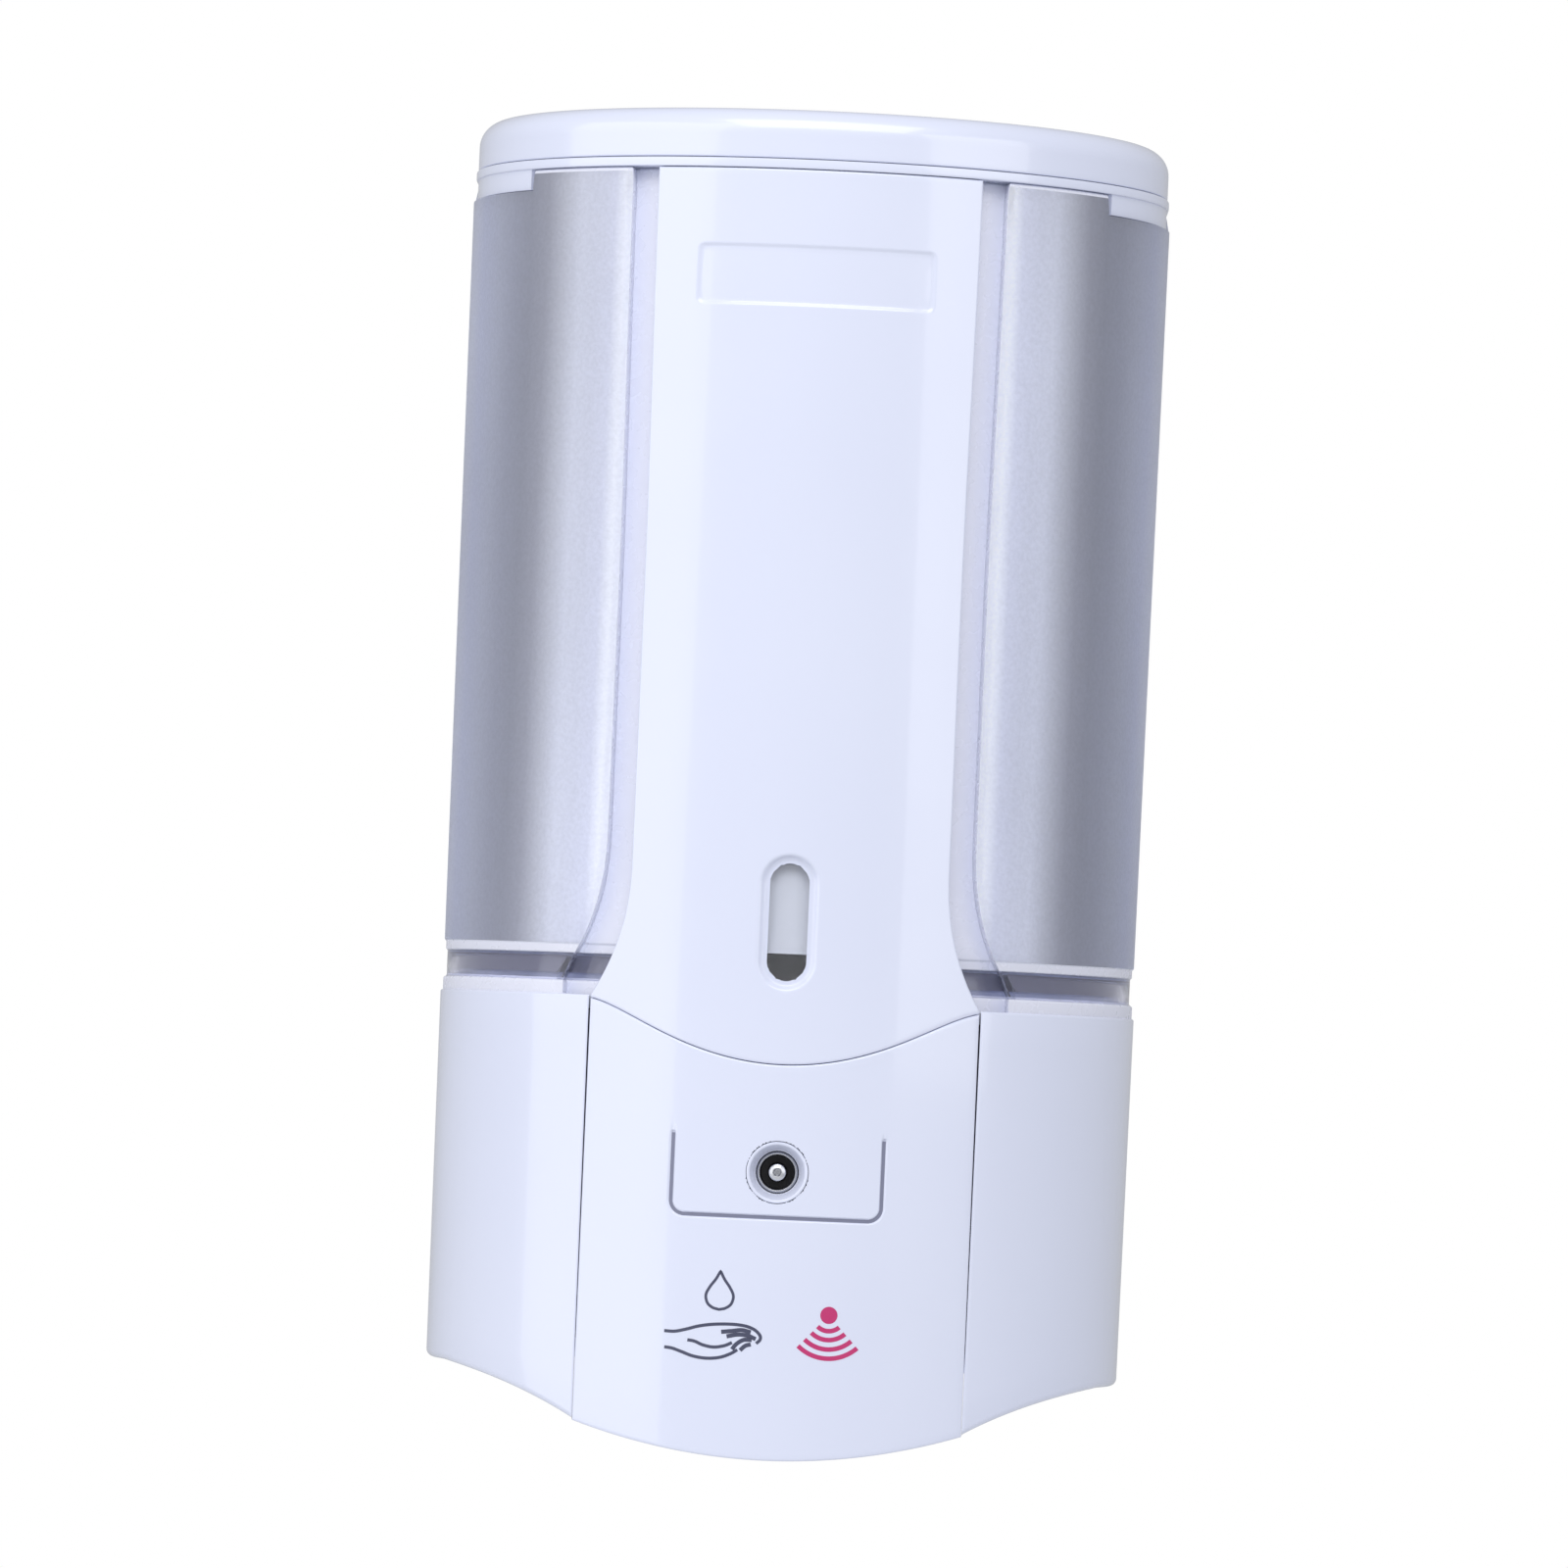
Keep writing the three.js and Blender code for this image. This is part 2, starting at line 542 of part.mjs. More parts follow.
// The deck closes the base, and the tank stands on it.
function deck() {
  const plate = bodyPrism(WALL + 0.4, TANK_BACK + WALL + GAP, [DECK_BOTTOM, DECK_TOP], ...baseSizes);
  const holes = POSTS.map(([x, depth]) => rod("z", 1.7, [70, 81], [x, depth], 12));
  const panelHoles = PANEL_FEET.map((x) => rod("z", 1.5, [70, 81], [x, 99], 10));
  return cut(plate, rod("z", 4.4, [70, 81], [LINE_X, LINE_DEPTH]), ...holes, ...panelHoles);
}
piece(dispenser, "pump_deck", deck(), INNER_WHITE);

POSTS.forEach(([x, depth], i) => {
  const made = piece(dispenser, `deck_screw_${i + 1}`, screw(15), STEEL);
  made.position.set(x, -depth, DECK_TOP + GAP);
});

// ---- pump line ----------------------------------------------------------------------------------

// Points of the hose: down from the tank, round the rear of the pump's track and down to the nozzle.
function hoseRoute(top, bottom) {
  const { depth, z, track, bend: r } = PUMP;
  const arc = (centreZ, radius, from, to, steps) =>
    Array.from({ length: steps + 1 }, (_, i) => {
      const angle = ((from + ((to - from) * i) / steps) * Math.PI) / 180;
      return [LINE_X, depth + radius * Math.cos(angle), centreZ + radius * Math.sin(angle)];
    });
  return [
    [LINE_X, LINE_DEPTH, top],
    ...arc(z + track + r, r, 0, -90, 4),
    ...arc(z, track, 90, 270, 12).slice(1),
    ...arc(z - track - r, r, 90, 0, 4).slice(1),
    [LINE_X, LINE_DEPTH, bottom],
  ];
}
const hose = tube(hoseRoute(78.3, 25.3), TUBE.outer, TUBE.bore, 30, 6);
piece(dispenser, "pump_hose", hose, [0xd9d6cc, 0.5, 0, 0.8]);

// The nozzle hangs from the floor and carries a flange under it.
const spout = [[1.4, 5], [2.2, 5], [3, 9], [3, 15]];
const flange = [[6, 15], [6, 16.7], [4, 16.7]];
const socket = [[4, 22], [2.4, 25], [1.4, 25]];
const nozzle = turned([...spout, ...flange, ...socket, spout[0]]).translate([LINE_X, -LINE_DEPTH, 0]);
piece(dispenser, "nozzle", nozzle, DARK_PLASTIC);

const pumpAxis = [PUMP.depth, PUMP.z];
const TRACK_WALL = PUMP.track + TUBE.outer + 0.3;
const BOX_SPAN = [-3, 14];

// Where the pump's two screws pass through its ears.
function earAt(side) {
  return [PUMP.depth - 15.5, PUMP.z + side * 14.5];
}

// A shallow cup round the rollers; the hose passes in and out through its front.
function pumpHousing() {
  const track = rod("x", TRACK_WALL, [-16, -5], pumpAxis, 24);
  const cup = cut(
    rod("x", TRACK_WALL + 2.2, [-15, BOX_SPAN[0] - GAP], pumpAxis, 24),
    track,
    rod("x", 2.2, [-6, 0], pumpAxis, 16),
    tube(hoseRoute(90, 10), TUBE.outer + 0.6, 0, 24, 6),
  );
  const ears = [-1, 1].map((side) => cut(rod("x", 3, [-15, BOX_SPAN[0] - GAP], earAt(side), 16), track));
  const earBores = [-1, 1].map((side) => rod("x", 1.6, [-20, 0], earAt(side), 12));
  return cut(join(cup, ...ears), ...earBores);
}
piece(dispenser, "pump_housing", pumpHousing(), INNER_WHITE);

function pumpCover() {
  const plate = rod("x", TRACK_WALL + 2.2, [-17, -15.3], pumpAxis, 24);
  const ears = [-1, 1].map((side) => rod("x", 3, [-17, -15.3], earAt(side), 16));
  const earBores = [-1, 1].map((side) => rod("x", 1.6, [-20, 0], earAt(side), 12));
  return cut(join(plate, ...ears), ...earBores);
}
piece(dispenser, "pump_cover", pumpCover(), INNER_WHITE);

[-1, 1].forEach((side, i) => {
  const made = piece(dispenser, `pump_screw_${i + 1}`, screw(11.5, 2.8, 1.2), STEEL);
  made.rotation.y = -Math.PI / 2;
  made.position.set(-17.3, -earAt(side)[0], earAt(side)[1]);
});

const gearbox = cut(
  box(BOX_SPAN, [PUMP.depth - 11, PUMP.depth + 11], [PUMP.z - 14, PUMP.z + 14]),
  rod("x", 1.9, [-5, 4], pumpAxis, 16),
);
piece(dispenser, "gearbox", gearbox, [0xc9ccd3, 0.5]);

const motorSpan = [BOX_SPAN[1] + GAP, 40];
const motorCan = join(
  rod("x", 10, motorSpan, pumpAxis, 24).intersect(
    box([0, 60], [PUMP.depth - 7.6, PUMP.depth + 7.6], [20, 80]), // two flats
  ),
  rod("x", 3, [39, 42], pumpAxis, 16),
);
piece(dispenser, "motor", motorCan, STEEL);

const mount = cut(
  box([-2.4, 3.4], [PUMP.depth - 12, PUMP.depth + 12], [FLOOR_TOP + GAP, PUMP.z]),
  box([-5, 5], [PUMP.depth - 11.3, PUMP.depth + 11.3], [PUMP.z - 14.3, PUMP.z + 1]),
);
piece(dispenser, "motor_mount", mount, INNER_WHITE);

// ---- electronics --------------------------------------------------------------------------------

const BOARD = { x: [4.5, 44], depth: [32, 66], z: [24.5, 26.1] };
const boardPlate = cut(box(BOARD.x, BOARD.depth, BOARD.z), rod("z", 1.6, [20, 30], [41, 35], 12));
const chip = box([26, 36], [40, 50], [26, 27.6]);
piece(dispenser, "circuit_board", join(boardPlate, chip), [0x1f5a3a, 0.5]);

// A clear round lamp along Z with a domed end below.
function lamp(radius, [tip, top]) {
  const dome = [0, 30, 60, 90].map((degrees) => {
    const angle = (degrees * Math.PI) / 180;
    return [radius * Math.sin(angle), tip + radius * (1 - Math.cos(angle))];
  });
  return turned([...dome, [radius, top], [0, top]], 16);
}
["ir_emitter", "ir_receiver"].forEach((name, i) => {
  const made = piece(dispenser, name, lamp(2.5, [17.3, 24.2]), i ? DARK_PLASTIC : CLEAR);
  made.position.set(EMITTERS[i][0], -EMITTERS[i][1], 0);
});
const statusLed = piece(dispenser, "status_led", lamp(1.5, [16, 24.2]), [0xc23a3a, 0.2, 0, 0.7]);
statusLed.position.set(LED[0], -LED[1], 0);

const sensorWindow = box([3.5, 20], [55.5, 64.5], [14.7, 16.7]);
piece(dispenser, "sensor_window", sensorWindow, DARK_PLASTIC);

const switchBody = cut(
  box([SWITCH.x - 9, SWITCH.x + 9], [SWITCH.depth - 4, SWITCH.depth + 4], [FLOOR_TOP + GAP, 26]),
  box([SWITCH.x - 5, SWITCH.x + 5], [SWITCH.depth - 2, SWITCH.depth + 2], [10, 23]),
);
piece(dispenser, "switch_body", switchBody, DARK_PLASTIC);

// ---- batteries ----------------------------------------------------------------------------------

function batteryTray() {
  const { half, low, high, back, front, wall } = TRAY;
  const tray = cut(
    box([-half, half], [back, front], [low, high]),
    box([-half + wall, half - wall], [back + wall, front + 1], [low + wall, high - wall]),
  );
  const ribs = [-1, 0, 1].map((i) => {
    const x = i * CELL.pitch;
    return box([x - 0.5, x + 0.5], [back + 1, back + 4.5], [low + 1, high - 1]);
  });
  return join(tray, ...ribs);
}
piece(dispenser, "battery_tray", batteryTray(), INNER_WHITE);

// A cell along Z with its raised contact on top.
function cell() {
  const { radius, length } = CELL;
  return turned(
    [[0, 0], [radius - 0.6, 0], [radius, 0.6], [radius, length - 2.2], [radius - 0.8, length - 1.4],
      [2.6, length - 1.4], [2.6, length], [0, length]],
    20,
  );
}

// A tapering contact spring, as the solid that its coils sweep.
function contactSpring() {
  const profile = [[1.4, 0], [4.6, 0], [3.2, 2.9], [1.4, 2.9]];
  return turned([...profile, profile[0]], 16);
}

const cellBody = cell();
const springBody = contactSpring();
[0, 1, 2, 3].forEach((i) => {
  const x = (i - 1.5) * CELL.pitch;
  const up = i % 2 === 0;
  const battery = piece(dispenser, `battery_cell_${i + 1}`, cellBody, [0x3c5f8e, 0.35, 0.3]);
  battery.rotation.x = up ? 0 : Math.PI;
  battery.position.set(x, -CELL.depth, up ? 24.8 : 72.2);
  const spring = piece(dispenser, `contact_spring_${i + 1}`, springBody, STEEL);
  spring.rotation.x = up ? 0 : Math.PI;
  spring.position.set(x, -CELL.depth, up ? 21.5 : 75.5);
});

const LEAD = [0xb03030, 0.6];
const batteryRoute = [[26, 69, 40], [26, 67.5, 37], [28, 65, 32], [29, 60, 28.5], [29, 56, 27.5]];
piece(dispenser, "battery_lead", tube(batteryRoute, 1, 0, 8, 6), LEAD);
const motorRoute = [[42.4, 47, 48], [45.5, 47, 47], [46.5, 46, 40], [45, 45, 31], [41, 44, 27.5]];
piece(dispenser, "motor_lead", tube(motorRoute, 1, 0, 8, 6), LEAD);

// The steel keeper hangs from the deck, and the lock's cam turns up behind it.
const keeper = join(
  box([-7, 7], [94, 95.6], [61, DECK_BOTTOM - GAP]),
  box([-7, 7], [TRAY.front + 0.4, 95], [75.7, DECK_BOTTOM - GAP]),
);
piece(dispenser, "lock_keeper", keeper, STEEL);

// ---- hinge pins ---------------------------------------------------------------------------------

[-1, 1].forEach((side) => {
  const name = side > 0 ? "right" : "left";
  const lidSpan = side > 0 ? [38, LID_LUG.outer] : [-LID_LUG.outer, -38];
  const lidPin = rod("x", LID_AXIS.pin, lidSpan, [LID_AXIS.depth, LID_AXIS.z], 10);
  piece(dispenser, `lid_pin_${name}`, lidPin, STEEL);
  const doorSpan = side > 0 ? [26.5, 32.2] : [-32.2, -26.5];
  const doorPin = rod("x", DOOR_AXIS.pin, doorSpan, [DOOR_AXIS.depth, DOOR_AXIS.z], 10);
  piece(dispenser, `door_pin_${name}`, doorPin, STEEL);
});

// ---- lid ----------------------------------------------------------------------------------------

const lidGroup = new THREE.Group();
dispenser.add(lidGroup);

// A hollow lid with a rounded top edge. Its rear edge is a barrel about the hinge axis, notched
// for the housing's two lugs.
function lid() {
  const rise = 20;
  const block = new THREE.ExtrudeGeometry(planShape(0, 8), {
    depth: rise,
    bevelThickness: LID_ROUND,
    bevelSize: LID_ROUND,
    bevelOffset: -LID_ROUND,
    bevelSegments: 4,
  });
  block.translate(0, 0, HEIGHT - rise - LID_ROUND);
  const cap = solid(tapered(block, [0, LID_HALF], [1, LID_HALF]));
  const forward = box([-70, 70], [LID_AXIS.depth, DEPTH + 5], [LID_BOTTOM, HEIGHT + 1]);
  const barrel = rod("x", LID_AXIS.barrel, [-70, 70], [LID_AXIS.depth, LID_AXIS.z], 20);
  const cavity = bodyPrism(WALL, LID_AXIS.depth + LID_AXIS.barrel + 1, [200, HEIGHT - WALL], [0, LID_HALF]);
  const notches = [-1, 1].map((side) => {
    const inner = LID_LUG.inner - 0.4;
    const outer = LID_LUG.outer + 0.4;
    const span = side > 0 ? [inner, outer] : [-outer, -inner];
    return box(span, [10, LID_AXIS.depth + 5.1], [200, HEIGHT + 1]);
  });
  const bores = [-1, 1].map((side) => {
    const span = side > 0 ? [37.5, 45] : [-45, -37.5];
    return rod("x", LID_AXIS.pin + RUN, span, [LID_AXIS.depth, LID_AXIS.z], 16);
  });
  return cut(cap.intersect(join(forward, barrel)), cavity, ...notches, ...bores);
}
piece(lidGroup, "lid", lid(), SHELL_WHITE);

const gasket = cut(
  bodyPrism(6, 28, [RIM_TOP + GAP, HEIGHT - WALL - GAP], [0, LID_HALF]),
  bodyPrism(8.2, 30.2, [200, HEIGHT + 1], [0, LID_HALF]),
);
piece(lidGroup, "lid_gasket", gasket, [0xb9bcc6, 0.7]);

// ---- front door and its lock --------------------------------------------------------------------

const doorGroup = new THREE.Group();
dispenser.add(doorGroup);
const lockAt = [0, LOCK_Z];

// An upright U cut into the door's face round the lock, open at the top.
function lockGroove(floor) {
  const { half, low, top, corner, width } = GROOVE;
  const edge = (x, z) => [[x, top], [x, z + corner], ...bend([x, z + corner], [x, z], [x - corner, z], 4)];
  const leg = [...edge(half + width, low), ...edge(half, low + width).reverse()];
  const rightLeg = frontSlab(leg, [90, DEPTH + 2]);
  const leftLeg = frontSlab(leg.map(([x, z]) => [-x, z]), [90, DEPTH + 2]);
  const reach = half + width - corner + 0.3;
  const bar = box([-reach, reach], [90, DEPTH + 2], [low, low + width]);
  return cut(join(rightLeg, leftLeg, bar), floor);
}

function frontDoor() {
  const skin = cut(
    bodyPrism(0, TANK_BACK, [-1, BASE_TOP], ...baseSizes),
    bodyPrism(WALL, TANK_BACK, [-2, BASE_TOP + 1], ...baseSizes),
  );
  const outline = [[-DOOR_EDGE, -2], [DOOR_EDGE, -2], ...seamPoints(DOOR_EDGE, -0.2)];
  const body = cut(skin.intersect(frontSlab(outline, [60, DEPTH + 2])), footCutter());
  const ears = [-1, 1].map((side) => {
    const span = side > 0 ? [29.5, 32.2] : [-32.2, -29.5];
    const eye = rod("x", 3.4, span, [DOOR_AXIS.depth, DOOR_AXIS.z]);
    const arm = box(span, [DOOR_AXIS.depth, 99], [DOOR_AXIS.z - 3.4, DOOR_AXIS.z + 3.4]);
    return cut(join(eye, arm), rod("x", DOOR_AXIS.pin + RUN, [-40, 40], [DOOR_AXIS.depth, DOOR_AXIS.z], 16));
  });
  const boss = rod("depth", 8, [97, DEPTH - 1.5], lockAt);
  const grooveFloor = bodyPrism(GROOVE.deep, TANK_BACK, [-1, BASE_TOP], ...baseSizes);
  return cut(join(body, boss, ...ears), rod("depth", 5.7, [90, DEPTH + 2], lockAt), lockGroove(grooveFloor));
}
piece(doorGroup, "front_door", frontDoor(), SHELL_WHITE);

// Turns a profile about the lock's own axis: heights along Z become depth.
function lockTurned(profile, sides) {
  return turned(profile, sides).rotate([90, 0, 0]).translate([0, 0, LOCK_Z]);
}
const sleeveProfile = [[3.8, 94.4], [5.4, 94.4], [5.4, 107.2], [4.6, 107.6], [3.8, 106.6], [3.8, 94.4]];
piece(doorGroup, "lock_sleeve", lockTurned(sleeveProfile, 24), SHELL_WHITE);
const lockNut = cut(rod("depth", 8.4, [94.7, 96.7], lockAt, 6), rod("depth", 5.7, [94, 97], lockAt));
piece(doorGroup, "lock_nut", lockNut, STEEL);

const lockGroup = new THREE.Group();
doorGroup.add(lockGroup);

// A tubular key's plug: a round body with a post standing in its recess and a square tail.
function lockPlug() {
  const body = lockTurned(
    [[0, 93.5], [3.5, 93.5], [3.5, 104.5], [1.5, 104.5], [1.5, 106.6], [0.6, 107], [0.6, 105], [0, 105]],
    24,
  );
  const tail = box([-2, 2], [91.2, 94], [LOCK_Z - 2, LOCK_Z + 2]);
  return join(body, tail);
}
piece(lockGroup, "lock_plug", lockPlug(), STEEL);

function lockCam() {
  const hub = rod("depth", 4.8, [91.4, 93.2], lockAt);
  const arm = box([0, 15], [91.4, 93.2], [LOCK_Z - 3.2, LOCK_Z + 3.2]);
  return cut(join(hub, arm), box([-2.3, 2.3], [90, 95], [LOCK_Z - 2.3, LOCK_Z + 2.3]));
}
piece(lockGroup, "lock_cam", lockCam(), STEEL);

// ---- pump rotor ---------------------------------------------------------------------------------

const rotorGroup = new THREE.Group();
dispenser.add(rotorGroup);
const rollerSeats = [90, 210, 330].map((degrees) => {
  const angle = (degrees * Math.PI) / 180;
  return [PUMP.depth + ROLLER.orbit * Math.cos(angle), PUMP.z + ROLLER.orbit * Math.sin(angle)];
});

// Two cheeks and a hub, with three pins for the rollers.
function pumpRotor() {
  const cheeks = [[-13.6, -12.3], [-6.7, -5.4]].map((span) => rod("x", 11.2, span, pumpAxis, 20));
  const hub = rod("x", 3.4, [-13.6, -5.4], pumpAxis);
  const pins = rollerSeats.map((seat) => rod("x", ROLLER.bore - RUN, [-13, -6], seat, 12));
  return cut(join(...cheeks, hub, ...pins), rod("x", 1.8, [-12.4, 0], pumpAxis, 16));
}
piece(rotorGroup, "pump_rotor", pumpRotor(), DARK_PLASTIC);
piece(rotorGroup, "pump_shaft", rod("x", 1.5, [-12, 3.6], pumpAxis, 16), STEEL);

rollerSeats.forEach((seat, i) => {
  const span = [-12, -7];
  const roller = cut(rod("x", ROLLER.radius, span, seat, 20), rod("x", ROLLER.bore, [-14, 0], seat, 12));
  piece(rotorGroup, `pump_roller_${i + 1}`, roller, INNER_WHITE);
});

// ---- power switch -------------------------------------------------------------------------------

const KNOB_X = SWITCH.x - 2.4;
const knob = join(
  box([KNOB_X - 2, KNOB_X + 2], [SWITCH.depth - 1.5, SWITCH.depth + 1.5], [15, 22]),
  box([KNOB_X - 2.4, KNOB_X + 2.4], [SWITCH.depth - 1.7, SWITCH.depth + 1.7], [20, 22]),
);
piece(dispenser, "switch_knob", knob, [0xe2e4ea, 0.4]);

export default assembly;
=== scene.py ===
# %% [markdown]
# # A wall mounted soap dispenser
# A touchless dispenser is a stack of glossy white mouldings round one frosted tank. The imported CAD
# model gives every piece its place, its size and its joint. This lesson gives each visible piece
# the surface that a moulder would cut: true curves instead of facets, rolled edges that catch the
# light, recesses, printed signs, frosted and clear plastic. Everything is in metres in the CAD
# model's own frame: the wall is the plane y = 0, the front looks towards -Y, and Z is up.

# %% Load the frame
import json
import math

import bmesh
import bpy
import numpy as np
from mathutils import Matrix, Vector


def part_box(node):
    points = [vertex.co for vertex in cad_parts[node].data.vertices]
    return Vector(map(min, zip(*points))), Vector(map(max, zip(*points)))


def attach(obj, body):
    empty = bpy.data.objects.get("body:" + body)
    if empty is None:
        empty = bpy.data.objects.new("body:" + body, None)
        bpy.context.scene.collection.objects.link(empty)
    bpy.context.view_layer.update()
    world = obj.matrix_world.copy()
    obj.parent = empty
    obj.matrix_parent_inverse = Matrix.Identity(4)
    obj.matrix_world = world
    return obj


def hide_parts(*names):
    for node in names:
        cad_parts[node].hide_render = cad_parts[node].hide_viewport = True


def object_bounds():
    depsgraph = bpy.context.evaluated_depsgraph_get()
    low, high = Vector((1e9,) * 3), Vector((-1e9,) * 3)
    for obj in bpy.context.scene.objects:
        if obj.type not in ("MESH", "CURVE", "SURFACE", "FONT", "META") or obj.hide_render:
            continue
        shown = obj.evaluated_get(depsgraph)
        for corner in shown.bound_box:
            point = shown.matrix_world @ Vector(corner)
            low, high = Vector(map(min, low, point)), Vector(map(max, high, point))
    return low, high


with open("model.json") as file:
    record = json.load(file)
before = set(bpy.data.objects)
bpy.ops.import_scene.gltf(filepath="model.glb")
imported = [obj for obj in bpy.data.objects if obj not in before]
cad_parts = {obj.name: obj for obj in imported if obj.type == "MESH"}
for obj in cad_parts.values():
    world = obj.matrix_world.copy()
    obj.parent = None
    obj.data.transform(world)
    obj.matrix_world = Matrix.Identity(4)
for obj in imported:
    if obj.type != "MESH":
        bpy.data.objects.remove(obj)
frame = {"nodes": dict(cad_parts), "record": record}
cad_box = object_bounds()

# %% [markdown]
# ## Working in a maker's units
# Mouldings are thought of in millimetres, as a width across, a depth out from the wall and a height
# above the lowest point of the front door. One function turns those three into metres in the
# frame, so that every shape below can be written the way it would be drawn. Sizes come from the
# CAD boxes where a piece has one, and the rest are the driving numbers of the design.

# %% Millimetres to the frame
MM = 0.001
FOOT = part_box("front_door")[0].z


def to_frame(x, depth, height):
    """Stacks x, -depth and height above the door's foot into points in metres."""
    x, depth, height = np.broadcast_arrays(x, depth, height)
    return np.stack([x * MM, -depth * MM, FOOT + height * MM], axis=-1)


def box_mm(node):
    """A CAD node's low and high corners as (x, depth, height) in millimetres; depth is swapped."""
    low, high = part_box(node)
    return (
        np.array([low.x, -high.y, low.z - FOOT]) / MM,
        np.array([high.x, -low.y, high.z - FOOT]) / MM,
    )


SIDE_DEPTH = 50.0  # straight sides, out from the wall
BOW_DEPTH = 58.0  # the elliptical bow in front of them
NOMINAL_HALF = 62.5
LID_HALF = box_mm("lid")[1][0]
LID_BOTTOM = box_mm("lid")[0][2]
LID_TOP = box_mm("lid")[1][2]
TANK_TOP_HALF = box_mm("tank")[1][0]
TANK_FOOT = box_mm("tank")[0][2]
TANK_TOP = box_mm("tank")[1][2]
TANK_BACK = box_mm("tank")[0][1]
BASE_TOP = box_mm("base_shell")[1][2]
PANEL_TOP = box_mm("front_panel")[1][2]
WALL = 2.4
print("lid", LID_BOTTOM.round(2), LID_TOP.round(2), "tank", TANK_FOOT.round(2), TANK_TOP.round(2))

# %% [markdown]
# ## The plan that every shell shares
# Seen from above, lid, tank and base have the same outline: straight sides and a bow that is half
# an ellipse. A moulder tapers each shell a little, so that it leaves its tool, so the half width
# grows evenly with height. A function of the distance across and the inset gives the depth of that
# bow, and its slope gives the direction that points straight out of the surface.


# %% Plan functions
def half_width(height, low, high):
    """Half width that runs evenly from low = (height, half) to high = (height, half)."""
    share = (np.asarray(height, float) - low[0]) / (high[0] - low[0])
    return low[1] + (high[1] - low[1]) * share


def bow(x, half, inset=0.0):
    """Depth of the ellipse ((x / a)^2 + ((depth - side) / b)^2 = 1), both semi-axes less inset."""
    a = half - inset
    b = BOW_DEPTH * half / NOMINAL_HALF - inset
    return SIDE_DEPTH + b * np.sqrt(np.clip(1 - (x / a) ** 2, 0, 1))


def bow_normal(x, half):
    """Unit normal (x part, depth part) of the ellipse at x."""
    a = np.asarray(half, float)
    b = BOW_DEPTH * a / NOMINAL_HALF
    nx = x / a**2
    nd = np.sqrt(np.clip(1 - (x / a) ** 2, 0, 1)) / b
    length = np.hypot(nx, nd)
    return nx / length, nd / length


def round_over(distance, radius):
    """How far a rolled edge falls back at a distance from the edge: r - sqrt(r^2 - (r - d)^2)."""
    near = np.clip(radius - distance, 0, radius)
    return radius - np.sqrt(radius**2 - near**2)


def ramp(value, start, end):
    """A smooth step, 3t^2 - 2t^3, from 0 at start to 1 at end."""
    t = np.clip((np.asarray(value, float) - start) / (end - start), 0, 1)
    return t * t * (3 - 2 * t)


def lines(*stretches):
    """Grid lines: each stretch is (from, to, step); the ends of stretches aren't repeated."""
    parts = [np.linspace(a, b, max(2, int(round(abs(b - a) / step)) + 1)) for a, b, step in stretches]
    return np.unique(np.round(np.concatenate(parts), 4))


print("bow depth at the middle:", bow(0.0, NOMINAL_HALF))

# %% [markdown]
# ## From arrays to meshes
# Three builders make every new piece. `wrap` joins a grid of points into a skin and closes it with
# flat caps. `plate` takes an outer and an inner sheet of the same grid, drops the faces inside a
# hole, and walls up every open edge, so that a plate always ends as one closed body. `sweep` carries
# a profile along a path. All of them hand whole arrays to the mesh, and then the normals are
# recalculated and edges sharper than a limit are marked, so that flats stay flat and curves smooth.


# %% Mesh builders
def finish_mesh(name, points, faces, sharp=32):
    """Builds the object: faces is a list of vertex index tuples; sharp is in degrees."""
    mesh = bpy.data.meshes.new(name)
    mesh.from_pydata(points.reshape(-1, 3).tolist(), [], faces)
    work = bmesh.new()
    work.from_mesh(mesh)
    bmesh.ops.remove_doubles(work, verts=work.verts, dist=1e-7)
    bmesh.ops.dissolve_degenerate(work, edges=work.edges, dist=1e-7)
    bmesh.ops.recalc_face_normals(work, faces=work.faces)
    work.to_mesh(mesh)
    work.free()
    mesh.polygons.foreach_set("use_smooth", np.ones(len(mesh.polygons), bool))
    mesh.set_sharp_from_angle(angle=math.radians(sharp))
    obj = bpy.data.objects.new(name, mesh)
    bpy.context.scene.collection.objects.link(obj)
    return obj


def grid_quads(rows, cols, wrap_rows=False, wrap_cols=False):
    """Index quads of a rows x cols grid, in rows-then-cols order, closed on itself if asked."""
    i = np.arange(rows if wrap_rows else rows - 1)[:, None]
    j = np.arange(cols if wrap_cols else cols - 1)[None, :]
    nxt_i = (i + 1) % rows
    nxt_j = (j + 1) % cols
    corners = [i * cols + j, i * cols + nxt_j, nxt_i * cols + nxt_j, nxt_i * cols + j]
    return np.stack(np.broadcast_arrays(*corners), axis=-1).reshape(-1, 4)


def wrap(name, loops, closed_rows=False, sharp=32):
    """A stack of closed loops (rows, points, 3) skinned together; open stacks get two flat caps."""
    rows, cols = loops.shape[:2]
    faces = grid_quads(rows, cols, closed_rows, True).tolist()
    if not closed_rows:
        faces.append(list(range(cols)))
        faces.append(list(range((rows - 1) * cols, rows * cols)))
    return finish_mesh(name, loops, faces, sharp)


